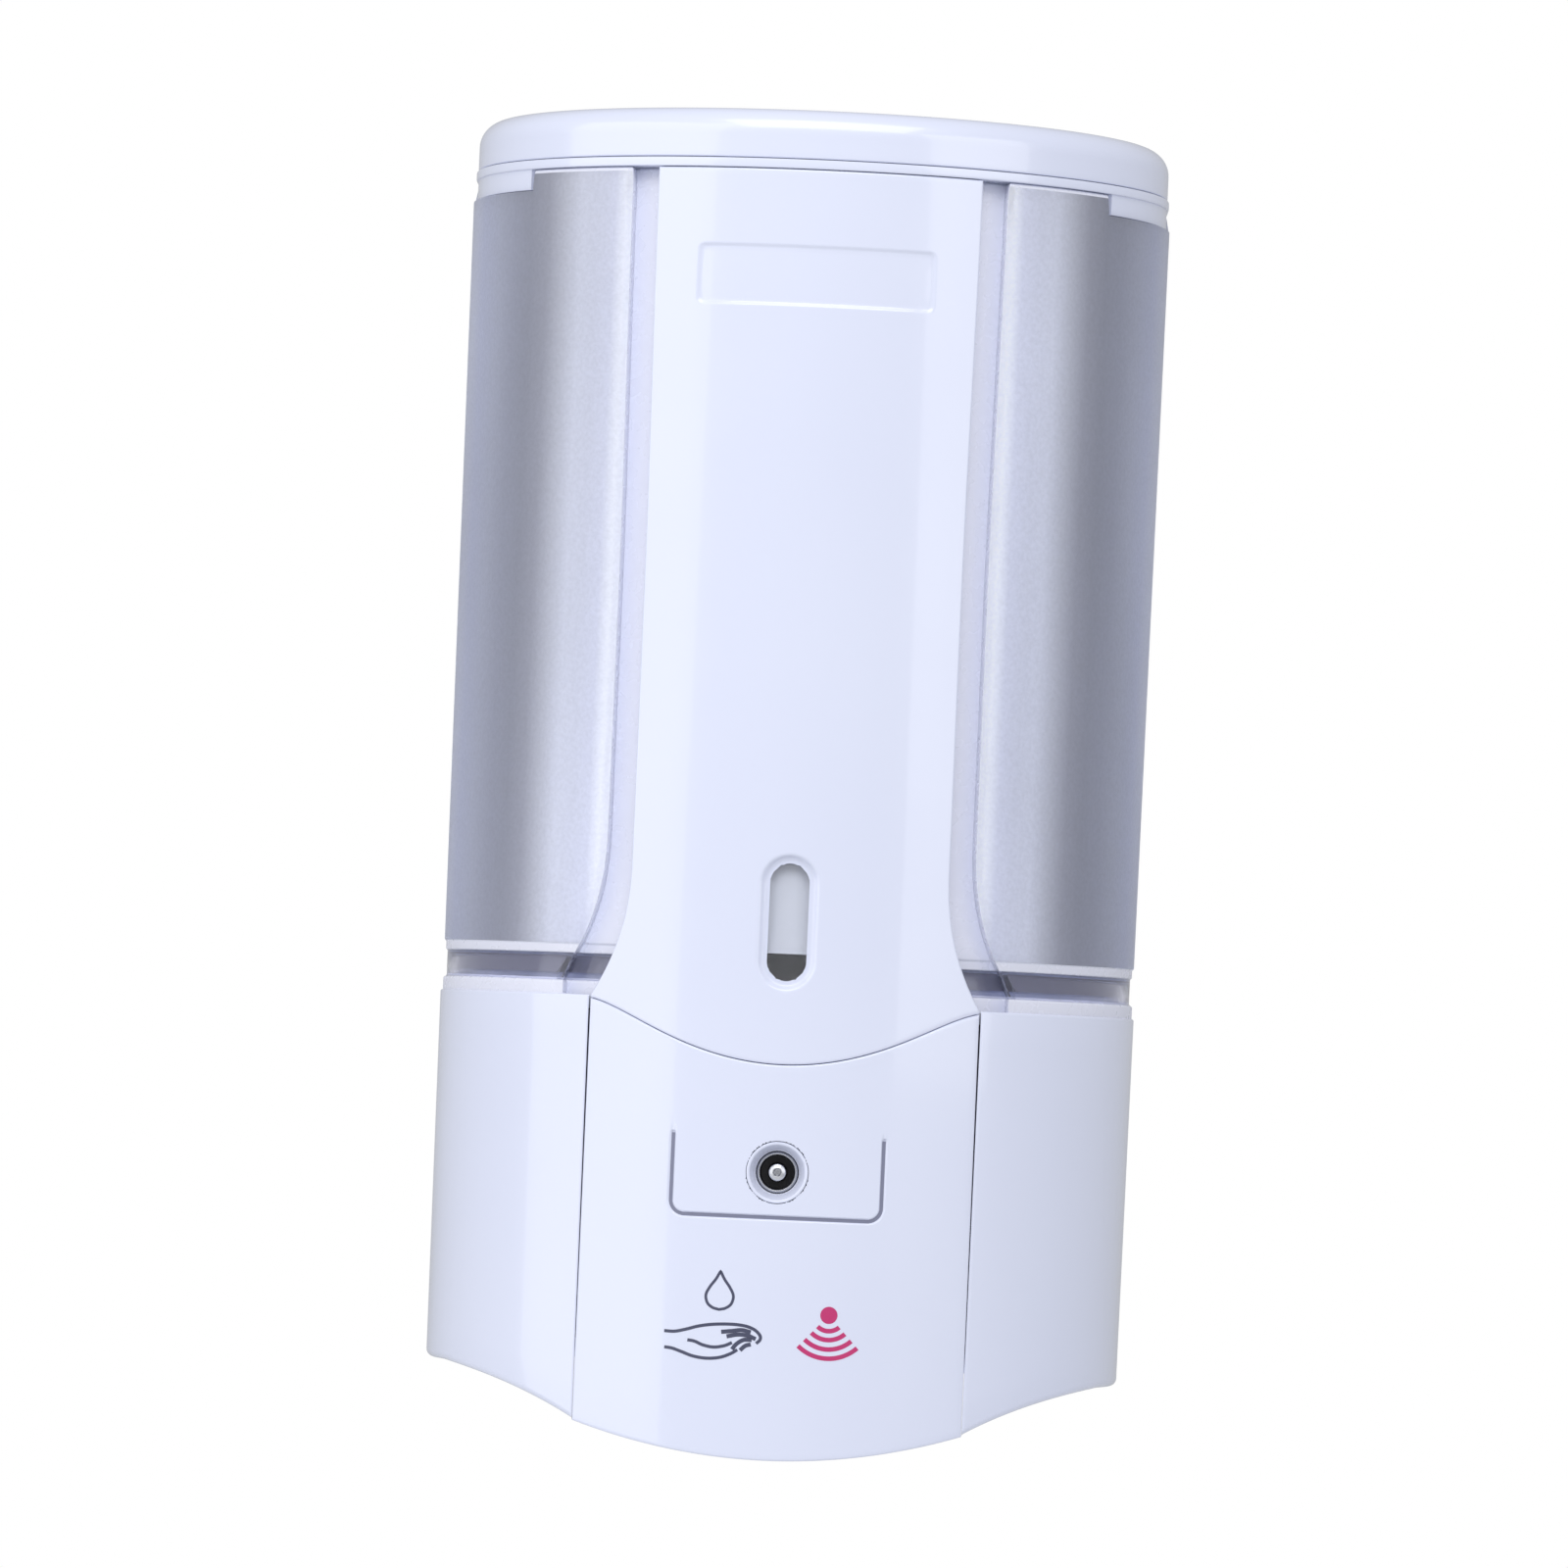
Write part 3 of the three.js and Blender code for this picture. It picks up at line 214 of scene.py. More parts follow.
def plate(name, outer, inner, keep=None, sharp=32):
    """Two matching sheets (rows, cols, 3) joined along every edge that only one kept face uses."""
    rows, cols = outer.shape[:2]
    quads = grid_quads(rows, cols)
    if keep is not None:
        quads = quads[keep.reshape(-1)]
    count = rows * cols
    starts = quads.reshape(-1)
    ends = np.roll(quads, -1, axis=1).reshape(-1)
    open_edge = ~np.isin(starts * count + ends, ends * count + starts)
    a, b = starts[open_edge], ends[open_edge]
    walls = np.stack([b, a, a + count, b + count], axis=-1)
    faces = np.concatenate([quads, quads[:, ::-1] + count, walls]).tolist()
    obj = finish_mesh(name, np.concatenate([outer.reshape(-1, 3), inner.reshape(-1, 3)]), faces, sharp)
    loose = bmesh.new()
    loose.from_mesh(obj.data)
    bmesh.ops.delete(loose, geom=[v for v in loose.verts if not v.link_faces], context="VERTS")
    loose.to_mesh(obj.data)
    loose.free()
    return obj


def sweep(name, path, profile, closed=False, sharp=32):
    """Carries a profile (points, 2) along a path (points, 3), in millimetres of x, depth, height.

    The profile's axes are turned with the path by carrying one side vector forward and keeping it
    square to the direction of travel."""
    path = np.asarray(path, float)
    ahead = np.gradient(path, axis=0)
    ahead /= np.linalg.norm(ahead, axis=1)[:, None]
    start = np.array([1.0, 0, 0]) if abs(ahead[0][0]) < 0.9 else np.array([0, 1.0, 0])
    sides = [start - ahead[0] * (start @ ahead[0])]
    for step in ahead[1:]:
        carried = sides[-1] - step * (sides[-1] @ step)
        sides.append(carried / np.linalg.norm(carried))
    sides = np.array(sides)
    sides[0] /= np.linalg.norm(sides[0])
    ups = np.cross(ahead, sides)
    ring = sides[:, None] * profile[None, :, :1] + ups[:, None] * profile[None, :, 1:]
    points = path[:, None] + ring
    return wrap(name, to_frame(points[..., 0], points[..., 1], points[..., 2]), closed, sharp)


def circle(radius, sides):
    """Points of a circle as (sides, 2)."""
    angle = np.linspace(0, 2 * np.pi, sides, endpoint=False)
    return np.stack([radius * np.cos(angle), radius * np.sin(angle)], axis=-1)


def turned(name, profile, axis, centre, sides=48, sharp=32, closed=False):
    """Turns a profile of (radius, along) about an axis line, in millimetres.

    axis is "x", "depth" or "height"; centre holds the two other coordinates. An open profile starts
    and ends near the axis and gets caps; a closed one is a ring."""
    profile = np.asarray(profile, float)
    ring = circle(1.0, sides)
    u = profile[:, :1] * ring[None, :, 0]
    v = profile[:, :1] * ring[None, :, 1]
    along = np.broadcast_to(profile[:, 1:], u.shape)
    if axis == "x":
        points = to_frame(along, centre[0] + u, centre[1] + v)
    elif axis == "depth":
        points = to_frame(centre[0] + u, along, centre[1] + v)
    else:
        points = to_frame(centre[0] + u, centre[1] + v, along)
    return wrap(name, points, closed, sharp)


def rolled(profile, radius, steps=4):
    """Rounds the corners of a polyline with arcs drawn as quadratic curves; ends stay as they are."""
    profile = np.asarray(profile, float)
    out = [profile[0]]
    for before, corner, after in zip(profile, profile[1:], profile[2:]):
        to_before = before - corner
        to_after = after - corner
        r = min(radius, 0.45 * np.linalg.norm(to_before), 0.45 * np.linalg.norm(to_after))
        p = corner + to_before / np.linalg.norm(to_before) * r
        q = corner + to_after / np.linalg.norm(to_after) * r
        t = np.linspace(0, 1, steps + 1)[:, None]
        out.extend((1 - t) ** 2 * p + 2 * t * (1 - t) * corner + t**2 * q)
    out.append(profile[-1])
    return np.array(out)


def tube_section(inner, outer, low, high, start, roll, steps=3):
    """Section of a tube with rolled ends, from a start on its bore and round to just before it."""
    corners = [(inner, start), (inner, low), (outer, low), (outer, high), (inner, high), (inner, start)]
    return rolled(corners, roll, steps)[:-1]


def stand_for(obj, body, slot, material, *nodes):
    """Rides the piece on its body, gives it its material and hides the CAD nodes; slot is not used."""
    obj.data.materials.append(material)
    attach(obj, body)
    if nodes:
        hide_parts(*nodes)
    print(f"{obj.name}: {len(obj.data.polygons)} faces, for {', '.join(nodes) or 'trim'}")
    return obj


def face_middles(obj):
    """The middles of a piece's faces as x, depth and height in millimetres."""
    middles = np.zeros(len(obj.data.polygons) * 3)
    obj.data.polygons.foreach_get("center", middles)
    middles = middles.reshape(-1, 3)
    return middles[:, 0] / MM, -middles[:, 1] / MM, (middles[:, 2] - FOOT) / MM


def share_faces(obj, index, *materials):
    """Adds further materials to a piece and tells every face which one it takes; 0 is the first."""
    for material in materials:
        obj.data.materials.append(material)
    obj.data.polygons.foreach_set("material_index", np.asarray(index).astype(np.int32))


# %% [markdown]
# ## Finishes
# A moulded white shell is a pigmented plastic under a smooth skin. What makes it read as plastic
# and not as paint is small: a very faint waviness of the skin, a roughness that drifts a little, and
# a colour that is not quite even. All patterns read Object coordinates, so that they stay put when
# a lid or a door moves. The tank's plastic is blasted, satin or clear in different places, so it
# has three finishes. Rays that look for a lamp pass straight through them, or the inside would be
# black. Constant values sit directly on the shader.


# %% Material helpers
def new_material(name, color, roughness, metallic=0.0, **values):
    """A Principled material; values maps socket names, with _ for spaces, to constants."""
    material = bpy.data.materials.new(name)
    material.use_nodes = True
    shader = material.node_tree.nodes["Principled BSDF"]
    shader.inputs["Base Color"].default_value = (*color, 1)
    shader.inputs["Roughness"].default_value = roughness
    shader.inputs["Metallic"].default_value = metallic
    for socket, value in values.items():
        shader.inputs[socket.replace("_", " ")].default_value = value
    return material


def add_noise(material, scale, detail=2.0, stretch=(1, 1, 1)):
    """A noise texture on Object coordinates, scale per metre, stretched along the axes."""
    nodes, links = material.node_tree.nodes, material.node_tree.links
    place = nodes.new("ShaderNodeTexCoord")
    mapping = nodes.new("ShaderNodeMapping")
    mapping.inputs["Scale"].default_value = stretch
    noise = nodes.new("ShaderNodeTexNoise")
    noise.inputs["Scale"].default_value = scale
    noise.inputs["Detail"].default_value = detail
    links.new(place.outputs["Object"], mapping.inputs["Vector"])
    links.new(mapping.outputs["Vector"], noise.inputs["Vector"])
    return noise


def vary_color(material, noise, low, high):
    """Mixes the base colour between two tones by a noise."""
    nodes, links = material.node_tree.nodes, material.node_tree.links
    tones = nodes.new("ShaderNodeValToRGB")
    tones.color_ramp.elements[0].color = (*low, 1)
    tones.color_ramp.elements[1].color = (*high, 1)
    tones.color_ramp.elements[0].position = 0.3
    tones.color_ramp.elements[1].position = 0.7
    links.new(noise.outputs["Fac"], tones.inputs["Fac"])
    links.new(tones.outputs["Color"], nodes["Principled BSDF"].inputs["Base Color"])


def paint_light_across(material, grain_noise, cloud_noise, stops):
    """Base colour by the distance from the middle plane: stops are (metres, colour).

    The stops paint light and shade on the blasted skin: lighter beside the channel, where lamp light scatters
    in it, and darkest about 51 mm out, where the wall turns away to the sides.
    One noise breaks the tone up into a fine grain, the other into slow clouds."""
    widest = 0.065  # metres, just past the tank's side
    nodes, links = material.node_tree.nodes, material.node_tree.links
    place = nodes.new("ShaderNodeTexCoord")
    split = nodes.new("ShaderNodeSeparateXYZ")
    across = nodes.new("ShaderNodeMath")
    across.operation = "ABSOLUTE"
    scaled = nodes.new("ShaderNodeMath")
    scaled.operation = "DIVIDE"
    scaled.inputs[1].default_value = widest
    tones = nodes.new("ShaderNodeValToRGB")
    points = tones.color_ramp.elements
    for _ in stops[2:]:
        points.new(0.5)
    for point, (distance, tone) in zip(points, stops):
        point.position = distance / widest
        point.color = (*tone, 1)
    spans = []
    for noise, low, high in [(grain_noise, 0.98, 1.09), (cloud_noise, 0.95, 1.07)]:
        span = nodes.new("ShaderNodeMapRange")
        span.inputs["From Min"].default_value = 0.3
        span.inputs["From Max"].default_value = 0.7
        span.inputs["To Min"].default_value = low
        span.inputs["To Max"].default_value = high
        links.new(noise.outputs["Fac"], span.inputs["Value"])
        spans.append(span)
    both = nodes.new("ShaderNodeMath")
    both.operation = "MULTIPLY"
    mixed = nodes.new("ShaderNodeVectorMath")
    mixed.operation = "SCALE"
    links.new(place.outputs["Object"], split.inputs["Vector"])
    links.new(split.outputs["X"], across.inputs[0])
    links.new(across.outputs["Value"], scaled.inputs[0])
    links.new(scaled.outputs["Value"], tones.inputs["Fac"])
    links.new(spans[0].outputs["Result"], both.inputs[0])
    links.new(spans[1].outputs["Result"], both.inputs[1])
    links.new(tones.outputs["Color"], mixed.inputs[0])
    links.new(both.outputs["Value"], mixed.inputs["Scale"])
    links.new(mixed.outputs["Vector"], nodes["Principled BSDF"].inputs["Base Color"])


def vary_roughness(material, noise, low, high):
    """Runs the roughness between two values by a noise."""
    nodes, links = material.node_tree.nodes, material.node_tree.links
    span = nodes.new("ShaderNodeMapRange")
    span.inputs["From Min"].default_value = 0.3
    span.inputs["From Max"].default_value = 0.7
    span.inputs["To Min"].default_value = low
    span.inputs["To Max"].default_value = high
    links.new(noise.outputs["Fac"], span.inputs["Value"])
    links.new(span.outputs["Result"], nodes["Principled BSDF"].inputs["Roughness"])


def add_bump(material, noise, strength, distance):
    """Raises the surface by a noise; distance is in metres."""
    nodes, links = material.node_tree.nodes, material.node_tree.links
    bump = nodes.new("ShaderNodeBump")
    bump.inputs["Strength"].default_value = strength
    bump.inputs["Distance"].default_value = distance
    links.new(noise.outputs["Fac"], bump.inputs["Height"])
    links.new(bump.outputs["Normal"], nodes["Principled BSDF"].inputs["Normal"])


def let_lamps_through(material, tint):
    """Rays that look for a lamp pass straight through, tinted, so that what is inside is lit."""
    nodes, links = material.node_tree.nodes, material.node_tree.links
    path = nodes.new("ShaderNodeLightPath")
    open_side = nodes.new("ShaderNodeBsdfTransparent")
    open_side.inputs["Color"].default_value = (*tint, 1)
    either = nodes.new("ShaderNodeMixShader")
    links.new(path.outputs["Is Shadow Ray"], either.inputs["Fac"])
    links.new(nodes["Principled BSDF"].outputs["BSDF"], either.inputs[1])
    links.new(open_side.outputs["BSDF"], either.inputs[2])
    links.new(either.outputs["Shader"], nodes["Material Output"].inputs["Surface"])


# %% Plastics
shell_white = new_material("shell_white", (0.70, 0.735, 0.885), 0.25, Coat_Weight=0.6, Coat_Roughness=0.05)
vary_color(shell_white, add_noise(shell_white, 18), (0.692, 0.727, 0.880), (0.708, 0.743, 0.890))
vary_roughness(shell_white, add_noise(shell_white, 60, 3), 0.17, 0.25)
add_bump(shell_white, add_noise(shell_white, 420, 1), 0.04, 0.0001)

inner_plastic = new_material("inner_plastic", (0.62, 0.64, 0.68), 0.5)
vary_color(inner_plastic, add_noise(inner_plastic, 30), (0.60, 0.62, 0.66), (0.64, 0.66, 0.70))
add_bump(inner_plastic, add_noise(inner_plastic, 2600, 2), 0.12, 0.0001)

frosted = new_material("frosted_tank", (0.83, 0.86, 0.93), 0.48, Transmission_Weight=0.5, IOR=1.46)
# painted light and shade: the ramp makes the blasted skin lighter beside the channel, darkest about 51 mm out
# and lighter again at the very sides
paint_light_across(frosted, add_noise(frosted, 1400, 2), add_noise(frosted, 22, 1, (1, 1, 0.45)), [
    (0.0, (0.90, 0.92, 0.98)), (0.034, (0.90, 0.92, 0.98)), (0.036, (0.71, 0.73, 0.84)),
    (0.039, (0.685, 0.705, 0.80)), (0.042, (0.70, 0.72, 0.81)), (0.045, (0.555, 0.57, 0.64)),
    (0.048, (0.39, 0.40, 0.467)), (0.051, (0.34, 0.353, 0.42)), (0.054, (0.37, 0.385, 0.465)),
    (0.057, (0.44, 0.46, 0.55)), (0.060, (0.49, 0.515, 0.64)), (0.0625, (0.60, 0.62, 0.70)),
])
vary_roughness(frosted, add_noise(frosted, 1900, 2), 0.42, 0.56)
add_bump(frosted, add_noise(frosted, 1700, 3), 0.35, 0.0002)
let_lamps_through(frosted, (0.86, 0.88, 0.93))

satin = new_material("satin_plastic", (0.74, 0.755, 0.86), 0.28, Transmission_Weight=0.08, IOR=1.46)
vary_roughness(satin, add_noise(satin, 300, 2), 0.22, 0.34)
let_lamps_through(satin, (0.88, 0.90, 0.95))

lens_clear = new_material(
    "lens_clear", (1, 1, 1), 0.05, Transmission_Weight=1.0, IOR=1.3, Specular_IOR_Level=0.25
)
vary_roughness(lens_clear, add_noise(lens_clear, 90, 2), 0.03, 0.07)
let_lamps_through(lens_clear, (0.97, 0.98, 0.99))

clear = new_material("clear_plastic", (0.66, 0.67, 0.78), 0.06, Transmission_Weight=0.95, IOR=1.46)
vary_roughness(clear, add_noise(clear, 90, 2), 0.04, 0.12)
let_lamps_through(clear, (0.95, 0.96, 0.98))

# dark_plastic is the real dark plastic of the nozzle and other parts; it is also painted shade in the lock's
# keyway gap and on the pad behind the level window
dark_plastic = new_material("dark_plastic", (0.02, 0.021, 0.026), 0.38)
vary_roughness(dark_plastic, add_noise(dark_plastic, 150, 2), 0.3, 0.46)
add_bump(dark_plastic, add_noise(dark_plastic, 2600, 2), 0.1, 0.0001)

# %% Metals, rubbers and the rest
steel = new_material("steel", (0.60, 0.61, 0.64), 0.3, 1.0)
vary_roughness(steel, add_noise(steel, 900, 3, (1, 1, 0.08)), 0.22, 0.4)
add_bump(steel, add_noise(steel, 1500, 2, (1, 1, 0.06)), 0.08, 0.0001)

seal_rubber = new_material("seal_rubber", (0.04, 0.042, 0.05), 0.72)
add_bump(seal_rubber, add_noise(seal_rubber, 3000, 2), 0.2, 0.0001)

# painted shade: the grey of the dim tank inside, seen through the level window
window_shade_grey = new_material("window_shade_grey", (0.40, 0.42, 0.49), 0.5)
add_bump(window_shade_grey, add_noise(window_shade_grey, 900, 2), 0.05, 0.0001)

# painted shade: the dark strip behind the tank's clear band
foot_shade_strip = new_material("foot_shade_strip", (0.10, 0.10, 0.14), 0.6)
add_bump(foot_shade_strip, add_noise(foot_shade_strip, 1500, 2), 0.15, 0.0001)

gasket_grey = new_material("gasket_grey", (0.42, 0.44, 0.50), 0.8)
add_bump(gasket_grey, add_noise(gasket_grey, 2200, 3), 0.5, 0.0003)

silicone = new_material("silicone", (0.80, 0.78, 0.72), 0.4, Transmission_Weight=0.5, IOR=1.41)
add_bump(silicone, add_noise(silicone, 500, 2), 0.1, 0.0001)

board_green = new_material("board_green", (0.01, 0.09, 0.035), 0.35)
vary_color(board_green, add_noise(board_green, 700, 1, (1, 6, 1)), (0.008, 0.07, 0.028), (0.02, 0.13, 0.05))

led_red = new_material("led_red", (0.7, 0.03, 0.03), 0.12, Transmission_Weight=0.6)
add_bump(led_red, add_noise(led_red, 300, 1), 0.05, 0.0001)

lead_red = new_material("lead_red", (0.42, 0.02, 0.02), 0.45)
add_bump(lead_red, add_noise(lead_red, 900, 2), 0.1, 0.0001)


def printed(name, color):
    """A printed film: even ink with a slightly broken gloss."""
    ink = new_material(name, color, 0.35)
    vary_roughness(ink, add_noise(ink, 700, 2), 0.28, 0.45)
    return ink


# line_grey colours a ribbon laid on the floor of the U groove round the lock, which darkens the groove
line_grey = printed("line_grey", (0.21, 0.22, 0.31))
ink_slate = printed("ink_slate", (0.065, 0.07, 0.12))
ink_magenta = printed("ink_magenta", (0.52, 0.035, 0.16))
print("materials:", len(bpy.data.materials))

# %% [markdown]
# ## Camera, lights and floor
# The dispenser is seen from a little below its middle with a long lens, leaning 2.5 degrees to the
# right, so the camera is rolled instead of the object. A large soft source stands at the left, a
# weaker one at the right and a broad one high in front, which gives the white shell its slow fall
# from left to right and the long soft stripe down its right half. The world is dim as a lamp, but
# white where the camera looks at it, straight or through the clear plastic.

# %% Camera
CAMERA_DISTANCE = 1.76  # metres from the front of the bow
CAMERA_HEIGHT = 71.5  # millimetres above the door's foot
CAMERA_AZIMUTH = 0.45  # degrees to the right of the middle plane
LEAN = 2.52  # degrees
LENS = 231.5  # millimetres, for a sensor 36 wide
middle = (cad_box[0] + cad_box[1]) / 2
front_y = cad_box[0][1]
camera_data = bpy.data.cameras.new("camera")
camera_data.sensor_width = 36
camera_data.lens = LENS
camera = bpy.data.objects.new("camera", camera_data)
bpy.context.scene.collection.objects.link(camera)
camera.location = Vector((
    math.sin(math.radians(CAMERA_AZIMUTH)) * CAMERA_DISTANCE,
    front_y - math.cos(math.radians(CAMERA_AZIMUTH)) * CAMERA_DISTANCE,
    FOOT + CAMERA_HEIGHT * MM,
))
AIM = Vector((-1.97 * MM, front_y + 0.02, FOOT + 118.62 * MM))
look = (AIM - camera.location).to_track_quat("-Z", "Y")
camera.rotation_euler = (look @ Matrix.Rotation(math.radians(LEAN), 4, "Z").to_quaternion()).to_euler()
bpy.context.scene.camera = camera
print("camera at", [round(v, 3) for v in camera.location])


# %% Lights, world and floor
def soft_light(name, place, size, power, color=(1, 1, 1)):
    """A rectangular source at place = (x, y, z) in metres, aimed at the middle of the dispenser."""
    data = bpy.data.lights.new(name, "AREA")
    data.shape = "RECTANGLE"
    data.size, data.size_y = size
    data.energy = power
    data.color = color
    light = bpy.data.objects.new(name, data)
    bpy.context.scene.collection.objects.link(light)
    light.location = place
    light.rotation_euler = (Vector(middle) - light.location).to_track_quat("-Z", "Y").to_euler()
    return light


def around(azimuth, distance, height):
    """A place at an azimuth to the right of the front, in degrees, at a height above the door's foot."""
    turn = math.radians(azimuth)
    return (math.sin(turn) * distance, middle[1] - math.cos(turn) * distance, FOOT + height)


soft_light("key_left", around(-60, 1.7, 0.45), (1.8, 2.0), 14)
soft_light("stripe_right", around(50, 1.5, 0.53), (0.95, 1.0), 4.3)
soft_light("front_top", (0.0, -1.3, 1.4), (1.6, 1.2), 17.5)

world = bpy.data.worlds.new("studio")
bpy.context.scene.world = world
world.use_nodes = True
backdrop = world.node_tree.nodes["Background"]
backdrop.inputs["Color"].default_value = (0.96, 0.97, 1.0, 1)
backdrop.inputs["Strength"].default_value = 0.49
seen = world.node_tree.nodes.new("ShaderNodeBackground")
seen.inputs["Color"].default_value = (1, 1, 1, 1)
seen.inputs["Strength"].default_value = 1.0
which = world.node_tree.nodes.new("ShaderNodeMixShader")
ray = world.node_tree.nodes.new("ShaderNodeLightPath")
seen_through = world.node_tree.nodes.new("ShaderNodeMath")
seen_through.operation = "MAXIMUM"
world.node_tree.links.new(ray.outputs["Is Camera Ray"], seen_through.inputs[0])
world.node_tree.links.new(ray.outputs["Is Transmission Ray"], seen_through.inputs[1])
world.node_tree.links.new(seen_through.outputs["Value"], which.inputs["Fac"])
world.node_tree.links.new(backdrop.outputs["Background"], which.inputs[1])
world.node_tree.links.new(seen.outputs["Background"], which.inputs[2])
world.node_tree.links.new(which.outputs["Shader"], world.node_tree.nodes["World Output"].inputs["Surface"])
bpy.context.scene.view_settings.view_transform = "Standard"

FLOOR_DROP = 0.75
FLOOR_REACH = 6.0
floor_mesh = bpy.data.meshes.new("floor")
floor_z = cad_box[0][2] - FLOOR_DROP
floor_corners = [(x * FLOOR_REACH, y * FLOOR_REACH, floor_z) for x, y in ((-1, -1), (1, -1), (1, 1), (-1, 1))]
floor_mesh.from_pydata(floor_corners, [], [(0, 1, 2, 3)])
floor = bpy.data.objects.new("floor", floor_mesh)
bpy.context.scene.collection.objects.link(floor)
floor_paint = new_material("floor_paint", (0.93, 0.94, 0.95), 0.7)
vary_color(floor_paint, add_noise(floor_paint, 3), (0.925, 0.935, 0.945), (0.935, 0.945, 0.955))
floor.data.materials.append(floor_paint)
print("floor at", round(floor_z, 3))

# %% [markdown]
# ## The lid
# A hollow cap with a rolled top edge. Its rear edge is a barrel about the hinge line, so that it
# clears the housing as it turns, and two notches leave room for the housing's lugs. It could be cut
# out of a block with booleans, but then the roll would be broken by stray edges. A stack of plan
# outlines is cleaner: each one has its own inset and height, and its own line across the back.

# %% Lid
LID_AXIS = (20.4, LID_TOP - 4.0)  # depth and height of the hinge line
BARREL = 4.0
LID_ROLL = 4.5
NOTCH = (43.6, 50.4)
BOW_COLUMNS = 120


def plan_loop(half, inset, back, notch_depth=None):
    """One closed outline: across the back from right to left, then round the bow, as (points, 2)."""
    edge = half - inset
    back_x = [edge, NOTCH[1], NOTCH[1], NOTCH[0], NOTCH[0], 24, 0, -24]
    back_x += [-NOTCH[0], -NOTCH[0], -NOTCH[1], -NOTCH[1], -edge]
    notch = back if notch_depth is None else notch_depth
    back_d = [back, back, notch, notch, back, back, back, back, back, notch, notch, back, back]
    side = np.linspace(back, SIDE_DEPTH, 6)[1:-1]
    angle = np.pi * (1 + np.linspace(0, 1, BOW_COLUMNS + 1))
    b = BOW_DEPTH * half / NOMINAL_HALF - inset
    x = np.concatenate([back_x, np.full(4, -edge), edge * np.cos(angle), np.full(4, edge)])
    depth = np.concatenate([back_d, side, SIDE_DEPTH - b * np.sin(angle), side[::-1]])
    return np.stack([x, depth], axis=-1)


def stack(rows):
    """Rows of (outline, height) as loops of points in the frame."""
    return np.stack([to_frame(outline[:, 0], outline[:, 1], height) for outline, height in rows])


def barrel_back(height):
    """The rear of the lid: axis depth - sqrt(r^2 - (height - axis)^2), the barrel's rear half."""
    return LID_AXIS[0] - math.sqrt(max(0.0, BARREL**2 - (height - LID_AXIS[1]) ** 2))


def lid_rows():
    """Inset and height of every outline: the ceiling inside, the inner wall, the lip, the side, the roll."""
    rows = []
    cavity_back = LID_AXIS[0] + BARREL + 1
    inner_notch = cavity_back + 2.4
    ceiling = LID_TOP - WALL
    for inset, height in rolled([(11, ceiling), (WALL, ceiling), (WALL, LID_BOTTOM)], 1.5):
        back = cavity_back + max(0.0, inset - WALL)
        notch = max(back, inner_notch)
        rows.append((plan_loop(LID_HALF, inset, back, notch), height))
    lip = rolled([(WALL, LID_BOTTOM), (0, LID_BOTTOM), (0, LID_BOTTOM + 1.2)], 0.3)
    for inset, height in lip[1:]:
        share = inset / WALL
        back = barrel_back(height) * (1 - share) + cavity_back * share
        rows.append((plan_loop(LID_HALF, inset, back, 25.5 + share), height))
    for height in np.linspace(LID_BOTTOM + 1.3, LID_TOP - LID_ROLL, 10):
        rows.append((plan_loop(LID_HALF, 0, barrel_back(height), 25.5), height))
    for angle in np.linspace(0, np.pi / 2, 13)[1:]:
        inset = LID_ROLL * (1 - math.cos(angle))
        height = LID_TOP - LID_ROLL + LID_ROLL * math.sin(angle)
        rows.append((plan_loop(LID_HALF, inset, barrel_back(height), 25.5 + 0.1 * angle), height))
    return rows


lid = wrap("lid_fine", stack(lid_rows()))
stand_for(lid, "lid", "shell_white", shell_white, "lid")

# %% [markdown]
# ## The rim and its tabs
# Between lid and tank lies a thin white ring that snaps onto the tank with short tabs. Its edge
# shows as a fine double line all round, so it gets small rolls above and below. The tabs clip into
# notches in the tank's neck, and show as white blocks at the corners.

# %% Rim collar
RIM_HALF = box_mm("rim_collar")[1][0]
RIM_TOP = LID_BOTTOM - 0.12
RIM_BOTTOM = TANK_TOP + 0.12
TAB_FOOT = box_mm("rim_collar")[0][2]
TAB_THICK = 0.84


def rim_rows():
    """Outlines round the ring's section, from the middle of its outer edge and back to it."""
    section = [(0, 226.6), (0, RIM_TOP), (9, RIM_TOP), (9, RIM_BOTTOM), (0, RIM_BOTTOM), (0, 226.6)]
    return [
        (plan_loop(RIM_HALF, inset, TANK_BACK + inset * 10 / 9), height)
        for inset, height in rolled(section, 0.4, 3)[:-1]
    ]


rim = wrap("rim_collar_fine", stack(rim_rows()), closed_rows=True)
stand_for(rim, "dispenser", "shell_white", shell_white, "rim_collar")


def tab(name, side, near, far):
    """A tab in its notch: a thin curved bar whose section is carried along the plan."""
    depth = np.linspace(near, far, 24)
    a, b = RIM_HALF - 0.8, BOW_DEPTH - 0.8
    x = side * a * np.sqrt(np.clip(1 - (np.clip(depth - SIDE_DEPTH, 0, None) / b) ** 2, 0, 1))
    path = np.stack([x, depth, np.full_like(depth, (TAB_FOOT + RIM_BOTTOM) / 2)], axis=-1)
    half = (RIM_BOTTOM - TAB_FOOT) / 2 + 0.05
    square = [(0, -half), (half, -half), (half, half), (-half, half), (-half, -half), (0, -half)]
    section = rolled(square, 0.3, 3)[:-1] * np.array([TAB_THICK / 2 / half, 1])
    return sweep(name, path, section)


for number, (side, near, far) in enumerate([(-1, 26, 38), (-1, 46, 82), (1, 26, 38), (1, 46, 82)]):
    stand_for(tab(f"rim_tab_{number + 1}", side, near, far), "dispenser", "shell_white", shell_white)

